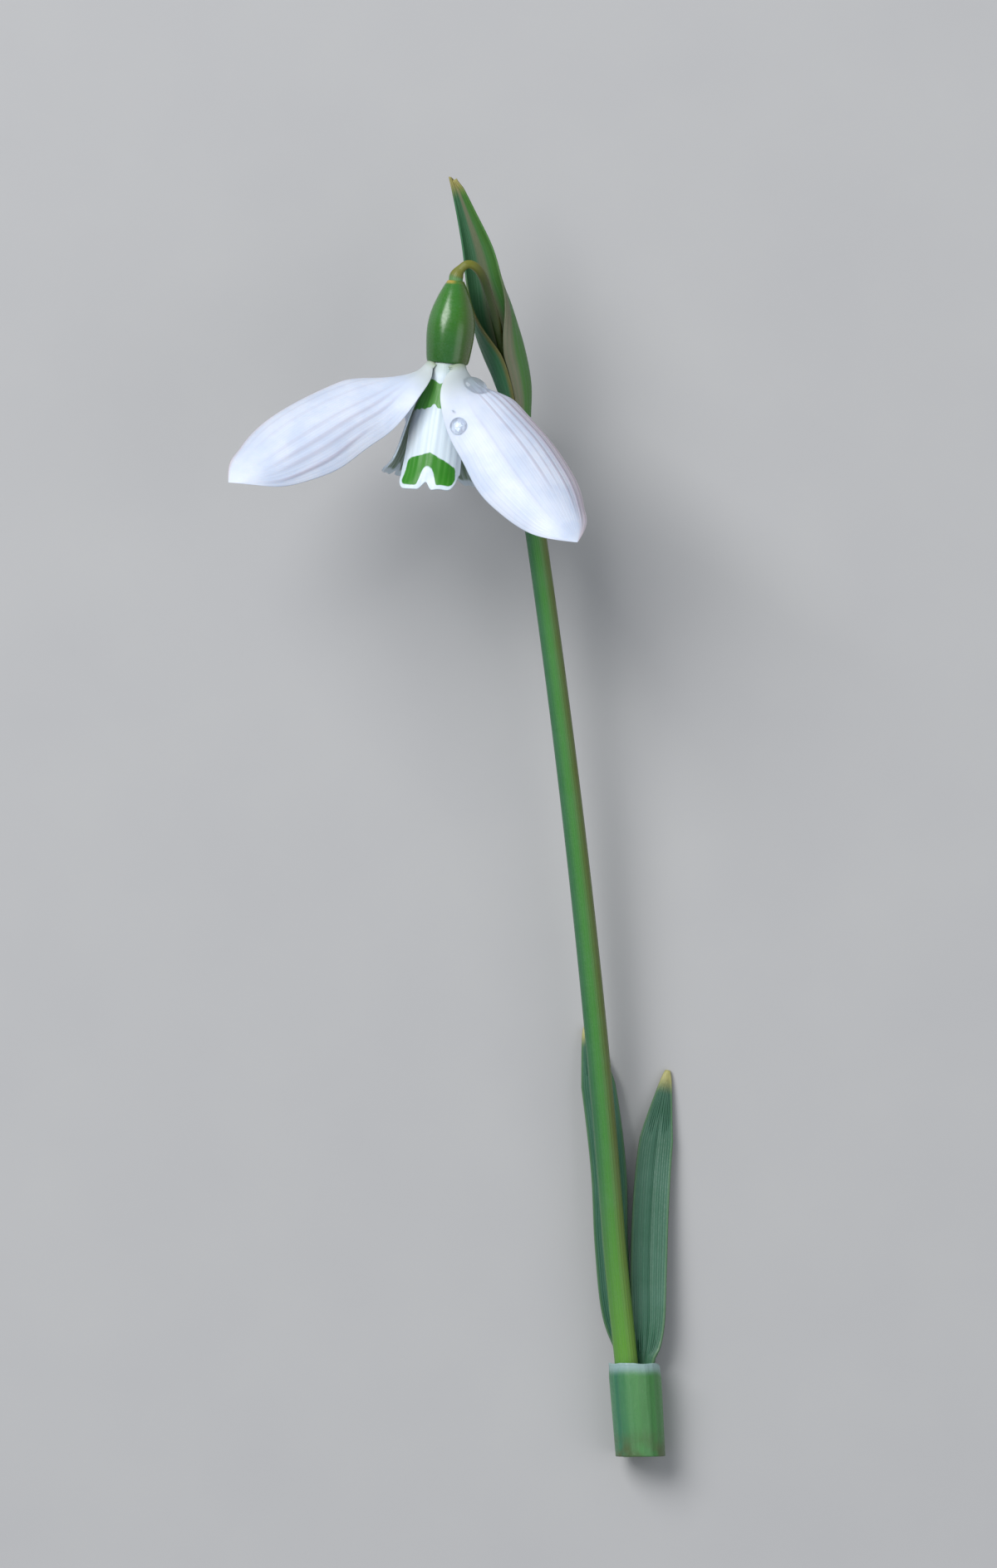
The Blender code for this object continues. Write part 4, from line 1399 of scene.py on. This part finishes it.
    def build_flower_stalk(self) -> None:
        """A thin stalk that leaves the spathe by its slit, arches over and thickens into the ovary."""
        start = self.stem_middle(np.array(STEM_LENGTH))
        stations = (
            (start[0], start[1] + 0.2, start[2] + 0.05), (-13.6, 116.4, 13.55), (-14.4, 119.3, 14.3),
            (-15.2, 122.6, 15.9), (-16.0, 125.6, 17.8), (-16.75, 128.0, 19.4), (-17.55, 129.15, 20.3),
            (-18.45, 129.45, 20.65), (-19.25, 128.85, 20.6), tuple(OVARY_TOP - AXIS * 0.45),
            tuple(OVARY_TOP + AXIS * 0.15),
        )
        route = smooth_route(stations, 170)
        share = np.linspace(0, 1, 170)
        radii = 0.5 - 0.04 * bell(share, 0.7, 0.1) + 0.26 * smooth(0.76, 0.9, share)
        ring = np.linspace(0, 2 * math.pi, 28, endpoint=False)
        lobes = 1 + 0.02 * np.cos(3 * ring) * np.ones((170, 1))
        finish = StalkFinish(
            "Flower stalk", relief=0.02, coat=0.1, subsurface=0.1, depth=0.3, part=StalkPart.FLOWER_STALK,
            left=(0.022, 0.045, 0.008), middle=(0.034, 0.056, 0.008), right=(0.055, 0.060, 0.007),
            foot=(0.170, 0.175, 0.008), tip=(0.100, 0.260, 0.070), bloom=(0.10, 0.17, 0.06),
        )
        self.frame.piece("flower_stalk_skin", stalk(route, radii, 28, lobes=lobes), finish, ["flower_stalk"], "stalk_green")


def facing_sign(surface: Array) -> float:
    """One if the grid's normals point up on the whole, and minus one if they point down."""
    return 1.0 if float(grid_normals(surface, False)[..., 2].sum()) > 0 else -1.0


# ---------------------------------------------------------------- table, light and camera


@dataclass
class Studio:
    """A pale table, soft light and a camera that looks straight down."""

    frame: PlantFrame
    view_middle: tuple[float, float] = (-15.1, 73.2)
    view_height: float = 169.92
    subject_height: float = 18.0
    distance: float = 3000.0

    def build(self) -> None:
        """Makes the table, the lights and the camera."""
        self.build_camera()
        self.build_table()
        self.build_lights()

    def build_camera(self) -> None:
        """A long lens from far off, so that near and far parts keep their true proportions."""
        camera = bpy.data.cameras.new("camera")
        camera.sensor_width = 36.0
        camera.lens = camera.sensor_width * self.distance / self.view_height
        camera.clip_end = 20.0
        camera.clip_start = 0.05
        made = bpy.data.objects.new("camera", camera)
        x, y, _ = self.frame.origin + np.array([*self.view_middle, 0.0])
        made.location = (x * MM, y * MM, (self.distance + self.subject_height) * MM)
        bpy.context.scene.collection.objects.link(made)
        bpy.context.scene.camera = made

    def build_table(self) -> None:
        """One large matt face with a faint mottle."""
        mesh = bpy.data.meshes.new("table")
        reach = 3.0
        corners = [(-reach, -reach, 0), (reach, -reach, 0), (reach, reach, 0), (-reach, reach, 0)]
        mesh.from_pydata(corners, [], [(0, 1, 2, 3)])
        made = bpy.data.objects.new("table", mesh)
        bpy.context.scene.collection.objects.link(made)
        matt = bpy.data.materials.new("Table")
        matt.use_nodes = True
        graph = Graph(matt.node_tree)
        shader = matt.node_tree.nodes["Principled BSDF"]
        mottle = graph.noise(graph.place(), 60.0, 4.0)
        graph.feed(shader.inputs["Base Color"], graph.mix(mottle, (0.46, 0.46, 0.47), (0.50, 0.50, 0.50)))
        shader.inputs["Roughness"].default_value = 0.9
        mesh.materials.append(matt)

    def build_lights(self) -> None:
        """A broad key from the upper left, a weak fill from the right and an even sky."""
        for name, place, size, power in (
            ("key", (-0.55, 0.55, 0.9), 0.7, 12.6),
            ("fill", (0.8, -0.2, 0.9), 0.9, 2.6),
        ):
            light = bpy.data.lights.new(name, "AREA")
            light.size = size
            light.energy = power
            made = bpy.data.objects.new(name, light)
            made.location = place
            direction = -np.array(place)
            made.rotation_euler = (
                math.acos(-direction[2] / np.linalg.norm(direction)),
                0.0,
                math.atan2(direction[1], direction[0]) - math.pi / 2,
            )
            bpy.context.scene.collection.objects.link(made)
        world = bpy.data.worlds.new("sky")
        world.use_nodes = True
        world.node_tree.nodes["Background"].inputs["Color"].default_value = (0.86, 0.92, 1.0, 1.0)
        world.node_tree.nodes["Background"].inputs["Strength"].default_value = 0.34
        bpy.context.scene.world = world
        bpy.context.scene.view_settings.view_transform = "Standard"


def main() -> None:
    """Loads the frame and builds the flower round it."""
    logging.basicConfig(level=logging.INFO, format="%(name)s %(message)s")
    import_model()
    frame = PlantFrame.from_sheath()
    Studio(frame).build()
    Shoot(frame).build()
    Flower(frame).build()


if __name__ == "__main__":
    main()
